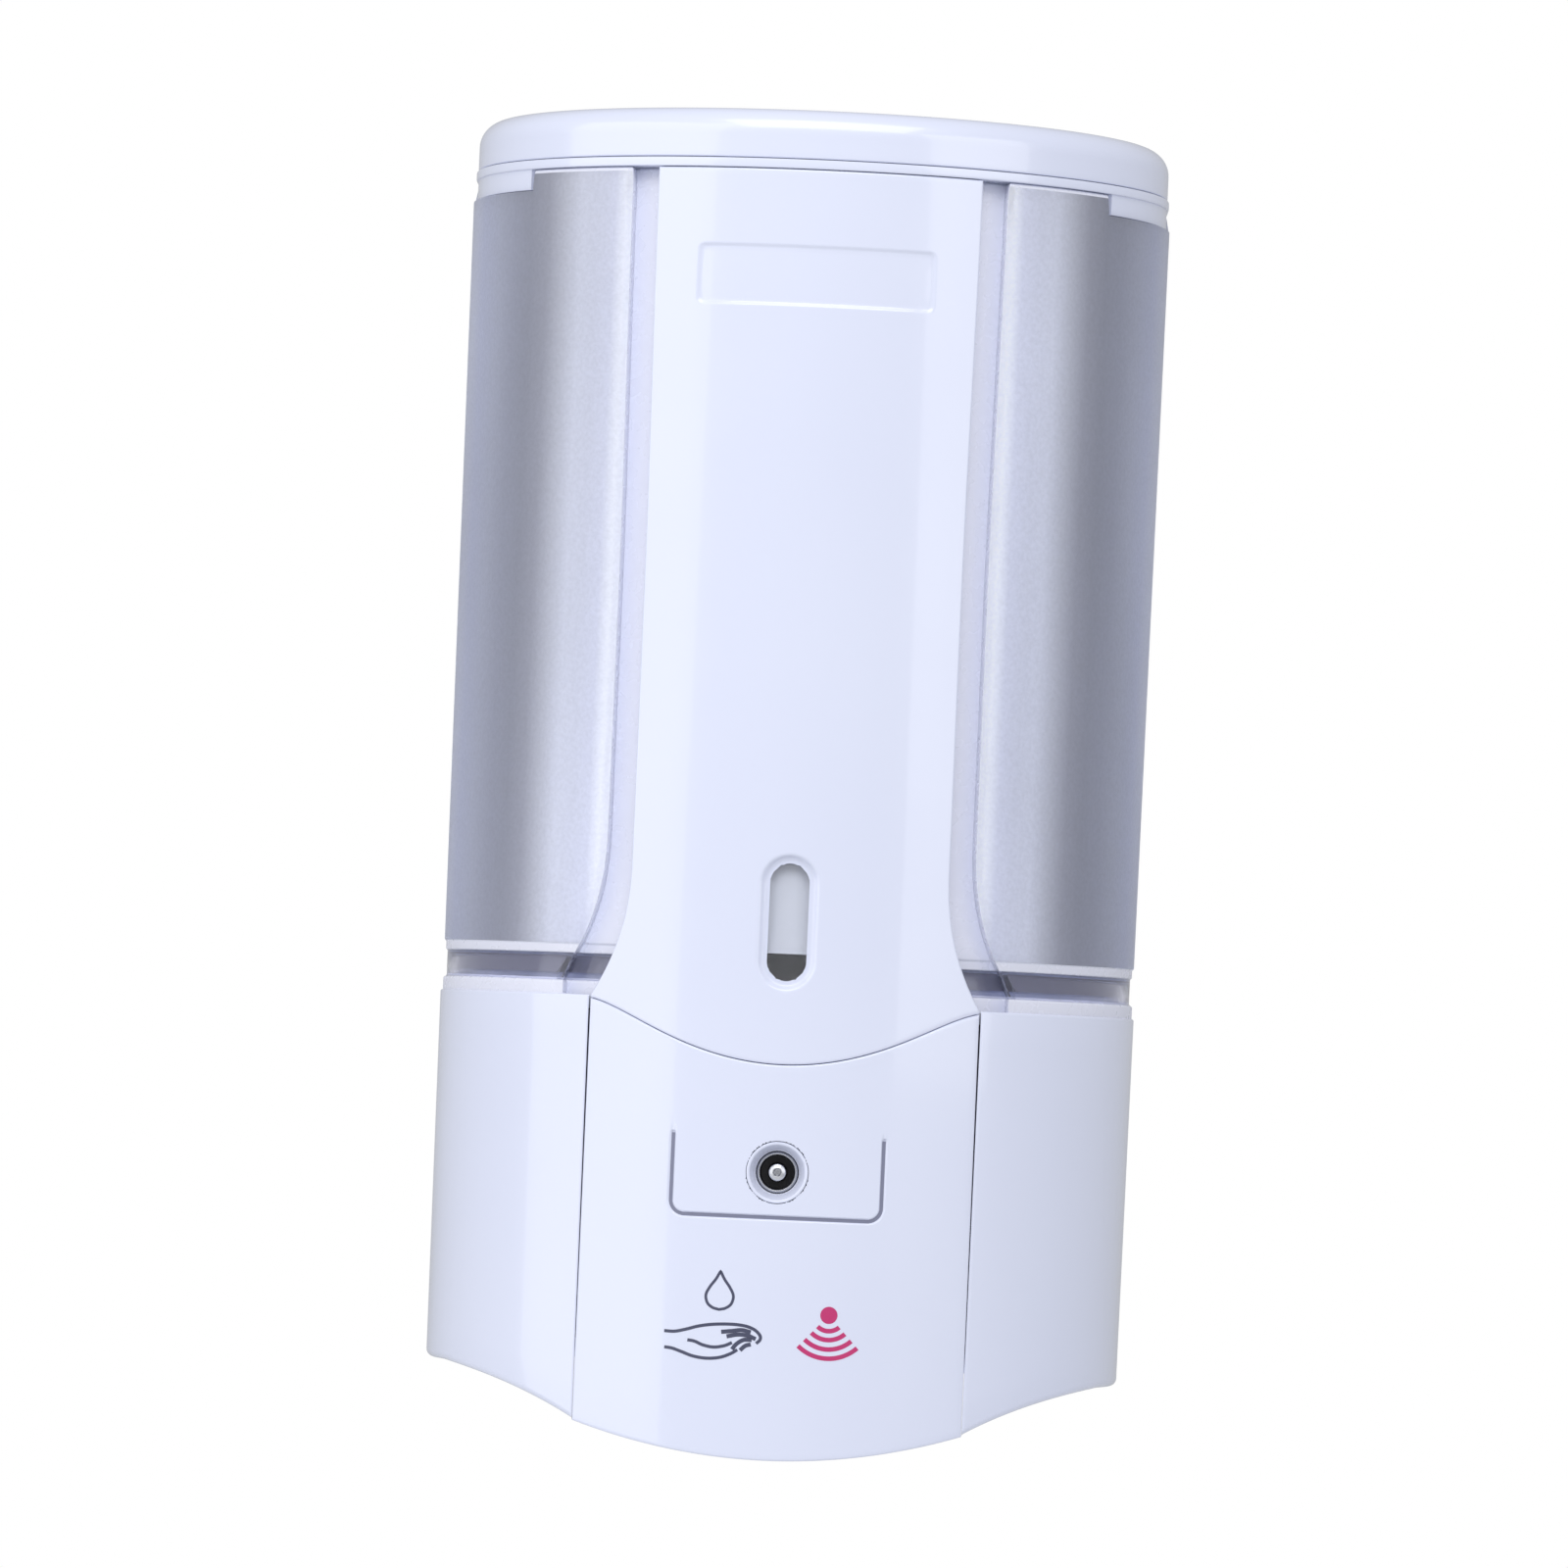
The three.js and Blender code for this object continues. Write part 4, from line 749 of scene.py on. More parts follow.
# %% [markdown]
# ## The tank
# One moulding with three kinds of surface: a sandblasted front left and right, a satin channel
# down the middle that the white panel sits in, and a clear band round the foot. The columns of its
# grid follow the channel's flared edge, so the step is crisp at any height. Outside and inside are
# one skin: from the middle of the floor up the inner wall, over the rim, down the outside, round the
# foot and in under the floor. Beside the rim's tabs the columns of the neck step inward.

# %% Channel and panel edges
PANEL_EDGE = 28.0
DOOR_EDGE = box_mm("front_door")[1][0]
FLARE_TOP = 104.0
FLARE_FOOT = 80.0


def panel_edge(height, spread=0.0):
    """Half width of the panel: constant above, then an even curve out to the door's width.

    edge = 28 + 6.3 t^2.3, where t runs from 0 at the top of the flare to 1 at its foot. The edge
    also leans out by 0.6 over the upper third."""
    t = np.clip((FLARE_TOP + spread - height) / (FLARE_TOP - FLARE_FOOT), 0, 1)
    top = 0.6 * ramp(height, 150, 226)
    return PANEL_EDGE + spread * (1 + 0.15 * t) + (DOOR_EDGE - PANEL_EDGE) * t**2.3 + top


TANK_FOOT_HALF = 62.1
TANK_SHOULDER = TANK_TOP - 3.1
NOTCH_FOOT = 221.9
NOTCH_DEEP = 1.45
TANK_WALL = 2.2
CHANNEL_DEEP = 3.2
CHANNEL_SPREAD = 3.7
FLOOR_UNDER = 86.8
FLOOR_HEIGHT = 88.2


def tank_loop(inset, height, back):
    """One closed outline of the tank at a height, as (points, 2); its front carries the channel."""
    at = min(height, TANK_SHOULDER)
    half = half_width(at, (TANK_FOOT, TANK_FOOT_HALF), (TANK_SHOULDER, TANK_TOP_HALF))
    edge = panel_edge(height, CHANNEL_SPREAD) + 0.35 * inset
    side_d = np.array([45.6, 44.8, 39.2, 38.4, 25.6, 24.8])  # the notches' ends lie between these
    angle = np.linspace(math.asin(min(1.0, (edge + 0.7) / (half - inset))), np.pi / 2, 60)[1:]
    cut_side = (side_d > 45) | ((side_d < 39) & (side_d > 25))
    cut_front = BOW_DEPTH * np.cos(angle) < 33.2
    cut_in = max(inset, NOTCH_DEEP if height > NOTCH_FOOT else 0.0)
    front_in = np.where(cut_front, cut_in, inset)
    side_in = np.where(cut_side, cut_in, inset)
    a = half - inset
    share = np.linspace(0, 1, 18)
    floor_x = edge * share[:-1]
    floor_d = bow(floor_x, half, inset + CHANNEL_DEEP)
    t = np.linspace(0, 1, 9)
    wall_x = edge + 0.7 * t
    wall_d = bow(wall_x, half, inset + CHANNEL_DEEP * (1 - ramp(t, 0.0, 1.0)))
    front_x = (half - front_in) * np.sin(angle)
    front_d = SIDE_DEPTH + (BOW_DEPTH * half / NOMINAL_HALF - front_in) * np.cos(angle)
    right_x = np.concatenate([floor_x, wall_x, front_x, half - side_in, np.linspace(a, 0, 9)])
    right_d = np.concatenate([floor_d, wall_d, front_d, side_d, np.full(9, back)])
    left = slice(-2, 0, -1)
    x = np.concatenate([right_x, -right_x[left]])
    depth = np.concatenate([right_d, right_d[left]])
    return np.stack([x, depth], axis=-1)


def tank_rows():
    """Outlines along the tank's section, no further apart than 2.5 mm on the straight stretches."""
    section = [
        (30, FLOOR_HEIGHT), (TANK_WALL, FLOOR_HEIGHT), (TANK_WALL, TANK_TOP), (0.6, TANK_TOP),
        (0, TANK_SHOULDER), (0, NOTCH_FOOT + 0.01), (0, NOTCH_FOOT - 0.01),
        (0, 89.0), (0.3, 88.7), (0.3, 87.3), (0.6, 87.1), (0.6, 82.5), (0, 82.2), (0, TANK_FOOT),
        (TANK_WALL, TANK_FOOT), (TANK_WALL, FLOOR_UNDER), (30, FLOOR_UNDER),
    ]
    rows = []
    bent = rolled(section, 0.8, 4)
    for (inset, height), (next_inset, next_height) in zip(bent, list(bent[1:]) + [bent[-1]]):
        steps = max(1, int(abs(next_height - height) / 2.5))
        for i in range(steps):
            share = i / steps
            at = inset + (next_inset - inset) * share
            rows.append((at, height + (next_height - height) * share))
    return [(tank_loop(inset, height, TANK_BACK + inset), height) for inset, height in rows]


tank = wrap("tank_fine", stack(tank_rows()), sharp=40)
stand_for(tank, "dispenser", "tank_frosted", frosted, "tank")

# %% [markdown]
# The frosting is a finish of the mould, so it ends on a line and not on a part: the channel, the lip
# of the neck and the foot's two ledges are satin, the band between the ledges is clear, and only the
# skin beside the channel is blasted. Picking the faces by where their middles lie does exactly that.

# %% Frosted, satin and clear faces
FROST_FOOT = 88.9
CLEAR_BAND = (82.4, 87.2)
NECK_LIP = 0.7
face_x, face_depth, face_height = face_middles(tank)
in_channel = (np.abs(face_x) < panel_edge(face_height, CHANNEL_SPREAD) + 0.8) & (face_depth > 70)
satin_faces = in_channel | (face_height < FROST_FOOT) | (face_height > TANK_TOP - NECK_LIP)
clear_faces = (face_height > CLEAR_BAND[0]) & (face_height < CLEAR_BAND[1])
share_faces(tank, np.where(clear_faces, 2, satin_faces), satin, clear)
print("satin:", int(satin_faces.sum()), "clear:", int(clear_faces.sum()), "of", len(satin_faces))

# %% [markdown]
# A dark strip lies behind the clear band and gives the foot its dark line: painted shade that stands for the
# shadow inside the tank's foot. The soap leaves through a short spigot, and the pump's hose meets the
# spigot's lower end.

# %% Painted shade strip behind the clear band, and the outlet
shade_strip_rows = [(tank_loop(inset, height, TANK_BACK + inset), height) for inset, height in [
    (2.3, 85.0), (2.3, 86.7), (3.2, 86.7), (3.2, 83.7), (2.3, 83.7)
]]
# painted shade: a dark strip that stands for the shadow inside the tank's foot, no real seal
band = wrap("foot_shade_strip", stack(shade_strip_rows), closed_rows=True)
stand_for(band, "dispenser", "seal_rubber", foot_shade_strip)

OUTLET = (-9.0, 53.5)
spigot_section = tube_section(2.0, 4, 78.6, 86.5, 80, 0.4)
spigot = turned("tank_spigot", spigot_section, "height", OUTLET, 40, closed=True)
stand_for(spigot, "dispenser", "tank_frosted", clear)

# %% [markdown]
# ## The front panel
# The white panel is a plate of even thickness on the bow. It is straight for most of its height,
# flares at its foot and ends on a seam that swings down in the middle. Its sheet is a grid over x
# and height whose lines crowd together where something happens: at the rolled edges, round the
# label recess and round the window. The window's slot is found from the distance to a stadium:
# points near its outline are pulled onto it, and the faces inside are dropped.

# %% Seam, sheet and hole helpers
SEAM_LOW, SEAM_RISE = 69.1, 10.4


def seam(x):
    """Height of the seam: low + rise (1.25 u^2 - 0.25 u^8), where u runs from 0 to 1 at the cheek."""
    u = np.abs(x) / (DOOR_EDGE + 0.4)
    return SEAM_LOW + SEAM_RISE * (1.25 * u**2 - 0.25 * u**8)


def stadium_distance(x, height, half, low, high):
    """Signed distance to an upright slot with round ends, negative inside."""
    nearest = np.clip(height, low + half, high - half)
    return np.hypot(x, height - nearest) - half


def pull_to(x, height, distance_of, reach):
    """Moves grid points within reach of an outline onto it, along the distance's own slope."""
    d = distance_of(x, height)
    e = 1e-3
    gx = (distance_of(x + e, height) - d) / e
    gh = (distance_of(x, height + e) - d) / e
    near = np.abs(d) < reach
    return np.where(near, x - gx * d, x), np.where(near, height - gh * d, height)


def faces_outside(x, height, distance_of):
    """True for each face of the grid whose middle lies outside the outline."""
    middle_x = (x[1:, 1:] + x[:-1, 1:] + x[1:, :-1] + x[:-1, :-1]) / 4
    middle_h = (height[1:, 1:] + height[:-1, 1:] + height[1:, :-1] + height[:-1, :-1]) / 4
    return distance_of(middle_x, middle_h) > 0


def on_bow(x, height, half, fall):
    """Points on the bow at x, pushed back along its normal by fall."""
    nx, nd = bow_normal(x, half)
    return to_frame(x - nx * fall, bow(x, half) - nd * fall, height)


EDGE_ROLL = 0.4
SEAM_GAP = 0.06  # from the seam to either edge
ROLL_LINES = EDGE_ROLL * (1 - np.cos(np.linspace(0, np.pi / 2, 6)))

# %% Front panel
PANEL_HALF = 62.35
PANEL_THICK = 2.2
LABEL = {"half": 21.0, "low": 201.6, "high": 212.6, "deep": 0.35, "slope": 0.8, "corner": 1.4}
WINDOW = {"half": 3.5, "low": 83.7, "high": 104.3, "frame": 1.7, "deep": 1.0}


def window_distance(x, height):
    return stadium_distance(x, height, WINDOW["half"], WINDOW["low"], WINDOW["high"])


def panel_grid():
    """x and height of the panel's grid. Rows follow the seam at the foot and level out above it."""
    right = lines((0, 5.6, 0.25), (5.6, 19.8, 1.6), (19.8, 22, 0.15), (22, PANEL_EDGE - 0.7, 0.9))
    right = np.concatenate([right, PANEL_EDGE - ROLL_LINES[::-1]])
    columns = np.unique(np.concatenate([-right, right]))
    foot = seam(0.0) + SEAM_GAP
    rows = lines((foot + 0.8, 82, 0.8), (82, 106.5, 0.25), (106, 200.8, 3), (200.8, 202.4, 0.15))
    upper = lines((203, 211, 2), (211.8, 213.4, 0.15), (215, 224.5, 2))
    rows = np.concatenate([foot + ROLL_LINES, rows, upper])
    rows = np.unique(np.concatenate([rows, PANEL_TOP - ROLL_LINES]))
    x, base = np.meshgrid(columns, rows)
    stretch = ramp(np.abs(x), 22, PANEL_EDGE)
    straight = np.clip((112 - base) / (112 - foot), 0, 1) ** 2
    wide, height = x, base
    for _ in range(8):
        height = base + (seam(wide) - seam(0.0)) * straight
        wide = x + np.sign(x) * (panel_edge(height) - PANEL_EDGE) * stretch
    return wide, height


def inside_label(x, height):
    """Distance into the label's field from its outline, a rectangle with rounded corners."""
    middle_h = (LABEL["low"] + LABEL["high"]) / 2
    half_h = (LABEL["high"] - LABEL["low"]) / 2
    past_x = np.abs(x) - LABEL["half"] + LABEL["corner"]
    past_h = np.abs(height - middle_h) - half_h + LABEL["corner"]
    inside = LABEL["corner"] - np.hypot(np.clip(past_x, 0, None), np.clip(past_h, 0, None))
    return inside - np.minimum(np.maximum(past_x, past_h), 0)


def panel_fall(x, height):
    """How far the face falls back: rolled edges, the label's sunk field and the window's rebate."""
    edges = [panel_edge(height) - np.abs(x), height - seam(x) - SEAM_GAP, PANEL_TOP - height]
    roll = np.max([round_over(np.clip(d, 0, None), EDGE_ROLL) for d in edges], axis=0)
    label = LABEL["deep"] * ramp(inside_label(x, height), 0, LABEL["slope"])
    rebate = WINDOW["deep"] * ramp(WINDOW["frame"] - window_distance(x, height), 0, 1.0)
    return np.maximum(roll, label) + rebate


grid_x, grid_h = panel_grid()
grid_x, grid_h = pull_to(grid_x, grid_h, window_distance, 0.13)
panel = plate(
    "front_panel_fine",
    on_bow(grid_x, grid_h, PANEL_HALF, panel_fall(grid_x, grid_h)),
    on_bow(grid_x, grid_h, PANEL_HALF, PANEL_THICK),
    faces_outside(grid_x, grid_h, window_distance),
    sharp=50,
)
stand_for(panel, "dispenser", "shell_white", shell_white, "front_panel")


def block(name, low, high, roll=0.3):
    """A small moulded block between two corners in millimetres, with rolled upright edges."""
    (x0, d0, h0), (x1, d1, h1) = low, high
    start = (x0, (d0 + d1) / 2)
    outline = rolled([start, (x0, d0), (x1, d0), (x1, d1), (x0, d1), start], roll, 3)[:-1]
    return wrap(name, stack([(outline, h0), (outline, h1)]))


for number, x in enumerate((-11, 11)):
    foot_block = block(f"panel_foot_{number + 1}", (x - 3, 96, 73.4), (x + 3, 105, 76.4))
    stand_for(foot_block, "dispenser", "shell_white", shell_white)

# %% [markdown]
# ## The level window
# A clear lens fills the slot. It is a thin bulged bar: a stadium outline drawn in from its edge in steps,
# each step a little prouder than the last, with a flat back. Behind it lie a grey field and, at the foot, a
# dark pad, both painted shade: they stand for the dim inside of the tank seen through the window, darkest
# under the tank's floor.

# %% Level window


def stadium_outline(half, low, high, steps=20):
    """Points round an upright stadium as (points, 2) of x and height."""
    upper = np.linspace(0, np.pi, steps)
    lower = np.linspace(np.pi, 2 * np.pi, steps)
    x = half * np.cos(np.concatenate([upper, lower]))
    height = half * np.sin(np.concatenate([upper, lower]))
    height += np.concatenate([np.full(steps, high - half), np.full(steps, low + half)])
    return np.stack([x, height], axis=-1)


def lens_rows(low, high, half, back, front, bulge):
    """Loops from the flat back to the bulged front; pull is how far an outline is drawn in."""
    rows = [(1.2, back), (0, back), (0, front - bulge)]
    for angle in np.linspace(0, np.pi / 2, 8)[1:]:
        rows.append((1.6 * (1 - math.cos(angle)), front - bulge + bulge * math.sin(angle)))
    loops = []
    for pull, depth in rows:
        outline = stadium_outline(half - pull, low + pull, high - pull)
        loops.append(to_frame(outline[:, 0], depth, outline[:, 1]))
    return np.stack(loops)


LENS_PLAY = 0.04
LENS_BULGE = 0.5
lens_slot = (WINDOW["low"] + LENS_PLAY, WINDOW["high"] - LENS_PLAY, WINDOW["half"] - LENS_PLAY)
lens_low, lens_high = box_mm("level_window")
lens = wrap("level_window_fine", lens_rows(*lens_slot, lens_low[1], lens_high[1], LENS_BULGE))
stand_for(lens, "dispenser", "window_clear", lens_clear, "level_window")

# painted shade: the dark pad and the grey field behind the lens stand for the dim tank inside, darkest under
# its floor
pad = block("window_shade_pad", (-3.4, 104.55, 83.8), (3.4, 104.95, 88.4), 0.1)
stand_for(pad, "dispenser", "dark_plastic", dark_plastic)
field = block("window_shade_field", (-3.3, 104.55, 88.5), (3.3, 104.9, 104.1), 0.1)
stand_for(field, "dispenser", "inner_plastic", window_shade_grey)

# %% [markdown]
# ## The base
# The base is a C-shaped wall: two cheeks beside the door, the sides and the back. Its lower edge is
# a wave: a parabola under the door that swells into an S on each cheek. The wall is one plate whose
# columns run round the plan and whose rows run from the wavy edge to the level top. The flat
# floor with its holes is drawn as a flat outline and given its thickness.

# %% Base wall
BASE_FOOT_HALF = 62.05
OPENING_EDGE = DOOR_EDGE + 0.14
SIDE_FOOT = 14.0
FOOT_ROLL = 1.3


def lower_edge(x):
    """Height of the lower edge: 0.0045 x^2 under the door, then a cubic curve up to the sides."""
    x = np.abs(np.asarray(x, float))
    knots = np.array([(OPENING_EDGE, 0.0045 * OPENING_EDGE**2), (41.6, 9.3), (50, 12.4), (59.5, SIDE_FOOT)])
    t = np.linspace(0, 1, 60)[:, None]
    curve = (1 - t) ** 3 * knots[0] + 3 * t * (1 - t) ** 2 * knots[1]
    curve = curve + 3 * t**2 * (1 - t) * knots[2] + t**3 * knots[3]
    return np.where(x < OPENING_EDGE, 0.0045 * x * x, np.interp(x, curve[:, 0], curve[:, 1]))


def base_path():
    """Plan columns from the right edge of the doorway round the back to the left, at full width.

    Gives x, depth and the outward direction at each column."""
    a, b = NOMINAL_HALF, BOW_DEPTH
    start = math.asin(OPENING_EDGE / a)
    near_edge = start + np.array([0, 0.001, 0.0035, 0.007, 0.0115])
    angle = np.concatenate([near_edge, np.linspace(start + 0.02, np.pi / 2, 56)])
    x, depth = a * np.sin(angle), SIDE_DEPTH + b * np.cos(angle)
    nx, nd = np.sin(angle) / a, np.cos(angle) / b
    length = np.hypot(nx, nd)
    side = np.linspace(SIDE_DEPTH, TANK_BACK + 1.0, 8)[1:]
    turn = np.linspace(0, np.pi / 2, 5)[1:]
    corner_x, corner_d = a - 1 + np.cos(turn), TANK_BACK + 1 - np.sin(turn)
    x = np.concatenate([x, np.full(7, a), corner_x, np.linspace(a - 1, 0, 8)[1:]])
    depth = np.concatenate([depth, side, corner_d, np.full(7, TANK_BACK)])
    out_x = np.concatenate([nx / length, np.ones(7), np.cos(turn), np.zeros(7)])
    out_d = np.concatenate([nd / length, np.zeros(7), -np.sin(turn), -np.ones(7)])
    mirror = slice(-2, None, -1)
    return (
        np.concatenate([x, -x[mirror]]),
        np.concatenate([depth, depth[mirror]]),
        np.concatenate([out_x, -out_x[mirror]]),
        np.concatenate([out_d, out_d[mirror]]),
    )


def base_sheet(fall_of, thickness):
    """The wall's sheet: rows from the lower edge to the top, columns round the plan."""
    x, depth, out_x, out_d = base_path()
    low = np.where(depth > SIDE_DEPTH, lower_edge(x), SIDE_FOOT)
    rise = FOOT_ROLL * (1 - np.cos(np.linspace(0, np.pi / 2, 7)))
    share = np.linspace(0, 1, 14)[:, None]
    body = low + FOOT_ROLL + (BASE_TOP - EDGE_ROLL - low - FOOT_ROLL) * share
    height = np.concatenate([low + rise[:-1, None], body, BASE_TOP - ROLL_LINES[::-1][1:, None] + 0 * low])
    half = half_width(height, (0, BASE_FOOT_HALF), (BASE_TOP, NOMINAL_HALF)) / NOMINAL_HALF
    past = depth - SIDE_DEPTH
    wide = x * half
    deep = np.where(past > 0, SIDE_DEPTH + past * half, depth)
    fall = fall_of(height, low, x, depth) + thickness
    inward = wide - out_x * fall
    # the doorway's sides are cut straight back, so that the door can swing between them
    beside = (depth > 70) & (np.abs(x) < OPENING_EDGE + 4)
    inward = np.where(beside, np.sign(x) * np.maximum(np.abs(inward), OPENING_EDGE * half), inward)
    return to_frame(inward, deep - out_d * fall, height)


def base_fall(height, low, x, depth):
    """Rolled lower edge, rolled top edge and rolled edges of the doorway."""
    foot = round_over(height - low, FOOT_ROLL)
    top = round_over(np.clip(BASE_TOP - height, 0, None), EDGE_ROLL)
    doorway = np.where(depth > 70, np.abs(x) - OPENING_EDGE, 9.0)
    side = round_over(np.clip(doorway, 0, None), EDGE_ROLL)
    return np.max(np.broadcast_arrays(foot, top, side), axis=0)


def no_fall(height, low, x, depth):
    return 0.0


base_wall = plate("base_wall", base_sheet(base_fall, 0), base_sheet(no_fall, WALL), sharp=50)
stand_for(base_wall, "dispenser", "shell_white", shell_white, "base_shell")

# %% Base floor with its holes
FLOOR_LOW, FLOOR_HIGH = 17.0, 19.4


def circle_at(x, depth, radius, sides=40):
    return circle(radius, sides) + np.array([x, depth])


def flat_piece(name, outline, holes, low, high):
    """A flat outline with holes, given thickness between two heights.

    The outline and holes become one filled curve, which is made a mesh and moved into place."""
    data = bpy.data.curves.new(name, "CURVE")
    data.dimensions = "2D"
    data.fill_mode = "BOTH"
    data.extrude = (high - low) / 2 * MM
    for loop in [outline, *holes]:
        spline = data.splines.new("POLY")
        spline.points.add(len(loop) - 1)
        flat = np.zeros((len(loop), 4))
        flat[:, 0], flat[:, 1], flat[:, 3] = loop[:, 0] * MM, -loop[:, 1] * MM, 1
        spline.points.foreach_set("co", flat.ravel())
        spline.use_cyclic_u = True
    drawn = bpy.data.objects.new(name + "_drawing", data)
    bpy.context.scene.collection.objects.link(drawn)
    bpy.context.view_layer.update()
    mesh = bpy.data.meshes.new_from_object(drawn.evaluated_get(bpy.context.evaluated_depsgraph_get()))
    bpy.data.objects.remove(drawn)
    bpy.data.curves.remove(data)
    mesh.transform(Matrix.Translation((0, 0, FOOT + (low + high) / 2 * MM)))
    mesh.name = name
    joined = bmesh.new()
    joined.from_mesh(mesh)
    bmesh.ops.remove_doubles(joined, verts=joined.verts, dist=1e-6)
    bmesh.ops.recalc_face_normals(joined, faces=joined.faces)
    joined.to_mesh(mesh)
    joined.free()
    mesh.materials.clear()
    obj = bpy.data.objects.new(name, mesh)
    bpy.context.scene.collection.objects.link(obj)
    return obj


def floor_outline():
    """The plan inside the wall, cut straight across behind the doorway."""
    a, b = NOMINAL_HALF - WALL + 0.2, BOW_DEPTH - WALL + 0.2
    cut_depth = 84.0
    end = math.acos((cut_depth - SIDE_DEPTH) / b)
    angle = np.linspace(end, np.pi / 2, 30)
    right = np.stack([a * np.sin(angle), SIDE_DEPTH + b * np.cos(angle)], axis=-1)
    back = np.array([[a, TANK_BACK + WALL - 0.2]])
    half = np.concatenate([right, back])
    return np.concatenate([half, half[::-1] * np.array([-1, 1])])


slot_hole = np.array([(-35, 48), (-25, 48), (-25, 52), (-35, 52)], float)
round_holes = [(*OUTLET, 4.3), (8, 60, 2.9), (16, 60, 2.9), (22, 60, 1.9)]  # nozzle, two eyes, lamp
floor_holes = [circle_at(*hole) for hole in round_holes] + [slot_hole]
base_floor = flat_piece("base_floor", floor_outline(), floor_holes, FLOOR_LOW, FLOOR_HIGH)
stand_for(base_floor, "dispenser", "shell_white", shell_white)

# %% Posts, bosses and hinge lugs inside the base
for number, x in enumerate((-48, 48)):
    post_section = tube_section(1.7, 3.2, FLOOR_HIGH, 77.3, 40, 0.3)
    post = turned(f"base_post_{number + 1}", post_section, "height", (x, 62), 32, closed=True)
    stand_for(post, "dispenser", "shell_white", shell_white)
    boss_section = tube_section(1.8, 3.4, 18, 27, 20, 0.3)
    boss = turned(f"base_boss_{number + 1}", boss_section, "depth", (x, 48), 32, closed=True)
    stand_for(boss, "dispenser", "shell_white", shell_white)


DOOR_AXIS = np.array([92.0, 14.0])
PIN_BORE = 1.4


def hinge_eye(name, span, start, radius, root):
    """A lug of the door's hinge: half a turn of eye from an angle, then the points of its root."""
    angle = start + np.linspace(0, np.pi, 16)
    eye = DOOR_AXIS + radius * np.stack([np.cos(angle), np.sin(angle)], axis=-1)
    outline = np.concatenate([eye, np.asarray(root, float)])
    about = np.arctan2(outline[:, 1] - DOOR_AXIS[1], outline[:, 0] - DOOR_AXIS[0])
    bore = DOOR_AXIS + PIN_BORE * np.stack([np.cos(about), np.sin(about)], axis=-1)
    ring = [(span[0], outline), (span[1], outline), (span[1], bore), (span[0], bore)]
    loops = np.stack([to_frame(x, line[:, 0], line[:, 1]) for x, line in ring])
    return wrap(name, loops, closed_rows=True)


LUG_ROOT = [(88, 19.4), (83, 19.4), (83, 14), (83, 10.4), (88, 10.4)]
for number, side in enumerate((-1, 1)):
    span = sorted((side * 26.5, side * 29.2))
    base_lug = hinge_eye(f"base_lug_{number + 1}", span, -np.pi / 2, 3.6, LUG_ROOT)
    stand_for(base_lug, "dispenser", "shell_white", shell_white)

# %% [markdown]
# ## The front door
# The door is a plate on the same bow, between straight sides, with the seam above and the wave
# below. Round the lock runs an upright U, a groove open at the top. The groove is a fall of the
# sheet by the distance to a rounded path, and fine grid lines run where it runs.

# %% Front door
LOCK_HEIGHT = 50.3
LOCK_HOLE = 5.5
GROOVE = {"half": 18.5, "low": 42.4, "top": 56.5, "corner": 2.4, "width": 0.9, "deep": 0.4}


def lock_distance(x, height):
    return np.hypot(x, height - LOCK_HEIGHT) - LOCK_HOLE


def groove_distance(x, height):
    """Distance to the U's middle line: two uprights, a floor and two quarter circles."""
    half, low, corner = GROOVE["half"], GROOVE["low"], GROOVE["corner"]
    ax = np.abs(x)
    top = np.clip(height, low + corner, GROOVE["top"])
    upright = np.hypot(ax - half, height - top)
    level = np.hypot(ax - np.clip(ax, 0, half - corner), height - low)
    round_corner = np.abs(np.hypot(ax - half + corner, height - low - corner) - corner)
    in_corner = (ax > half - corner) & (height < low + corner)
    return np.where(in_corner, round_corner, np.minimum(upright, level))


def door_grid():
    """x and height of the door's grid; rows follow the wave below and the seam above."""
    right = lines((0, 6, 0.25), (6, 16, 1.5), (16, 19.5, 0.14), (19.5, DOOR_EDGE - EDGE_ROLL, 1.5))
    right = np.concatenate([right, DOOR_EDGE - ROLL_LINES[::-1]])
    columns = np.unique(np.concatenate([-right, right]))
    top = seam(0.0) - SEAM_GAP
    rows = np.concatenate([
        ROLL_LINES, lines((1, 41.4, 2), (41.4, 45, 0.14), (45, 57, 0.25), (57, top - EDGE_ROLL, 1.2)),
        top - ROLL_LINES,
    ])
    x, base = np.meshgrid(columns, np.unique(np.round(rows, 4)))
    wave = lower_edge(x) * np.clip(1 - base / 18, 0, 1) ** 2
    swing = (seam(x) - seam(0.0)) * np.clip((base - 58) / (top - 58), 0, 1) ** 1.5
    return x, base + wave + swing


def door_fall(x, height):
    """Rolled edges all round and the U groove."""
    edges = [DOOR_EDGE - np.abs(x), height - lower_edge(x), seam(x) - SEAM_GAP - height]
    roll = np.max([round_over(np.clip(d, 0, None), EDGE_ROLL) for d in edges], axis=0)
    groove = GROOVE["deep"] * ramp(GROOVE["width"] / 2 + 0.1 - groove_distance(x, height), 0, 0.3)
    return np.maximum(roll, groove)


grid_x, grid_h = door_grid()
grid_x, grid_h = pull_to(grid_x, grid_h, lock_distance, 0.13)
door_half = half_width(grid_h, (0, BASE_FOOT_HALF), (BASE_TOP, NOMINAL_HALF))
door = plate(
    "front_door_fine",
    on_bow(grid_x, grid_h, door_half, door_fall(grid_x, grid_h)),
    on_bow(grid_x, grid_h, door_half, WALL),
    faces_outside(grid_x, grid_h, lock_distance),
    sharp=50,
)
stand_for(door, "door", "shell_white", shell_white, "front_door")

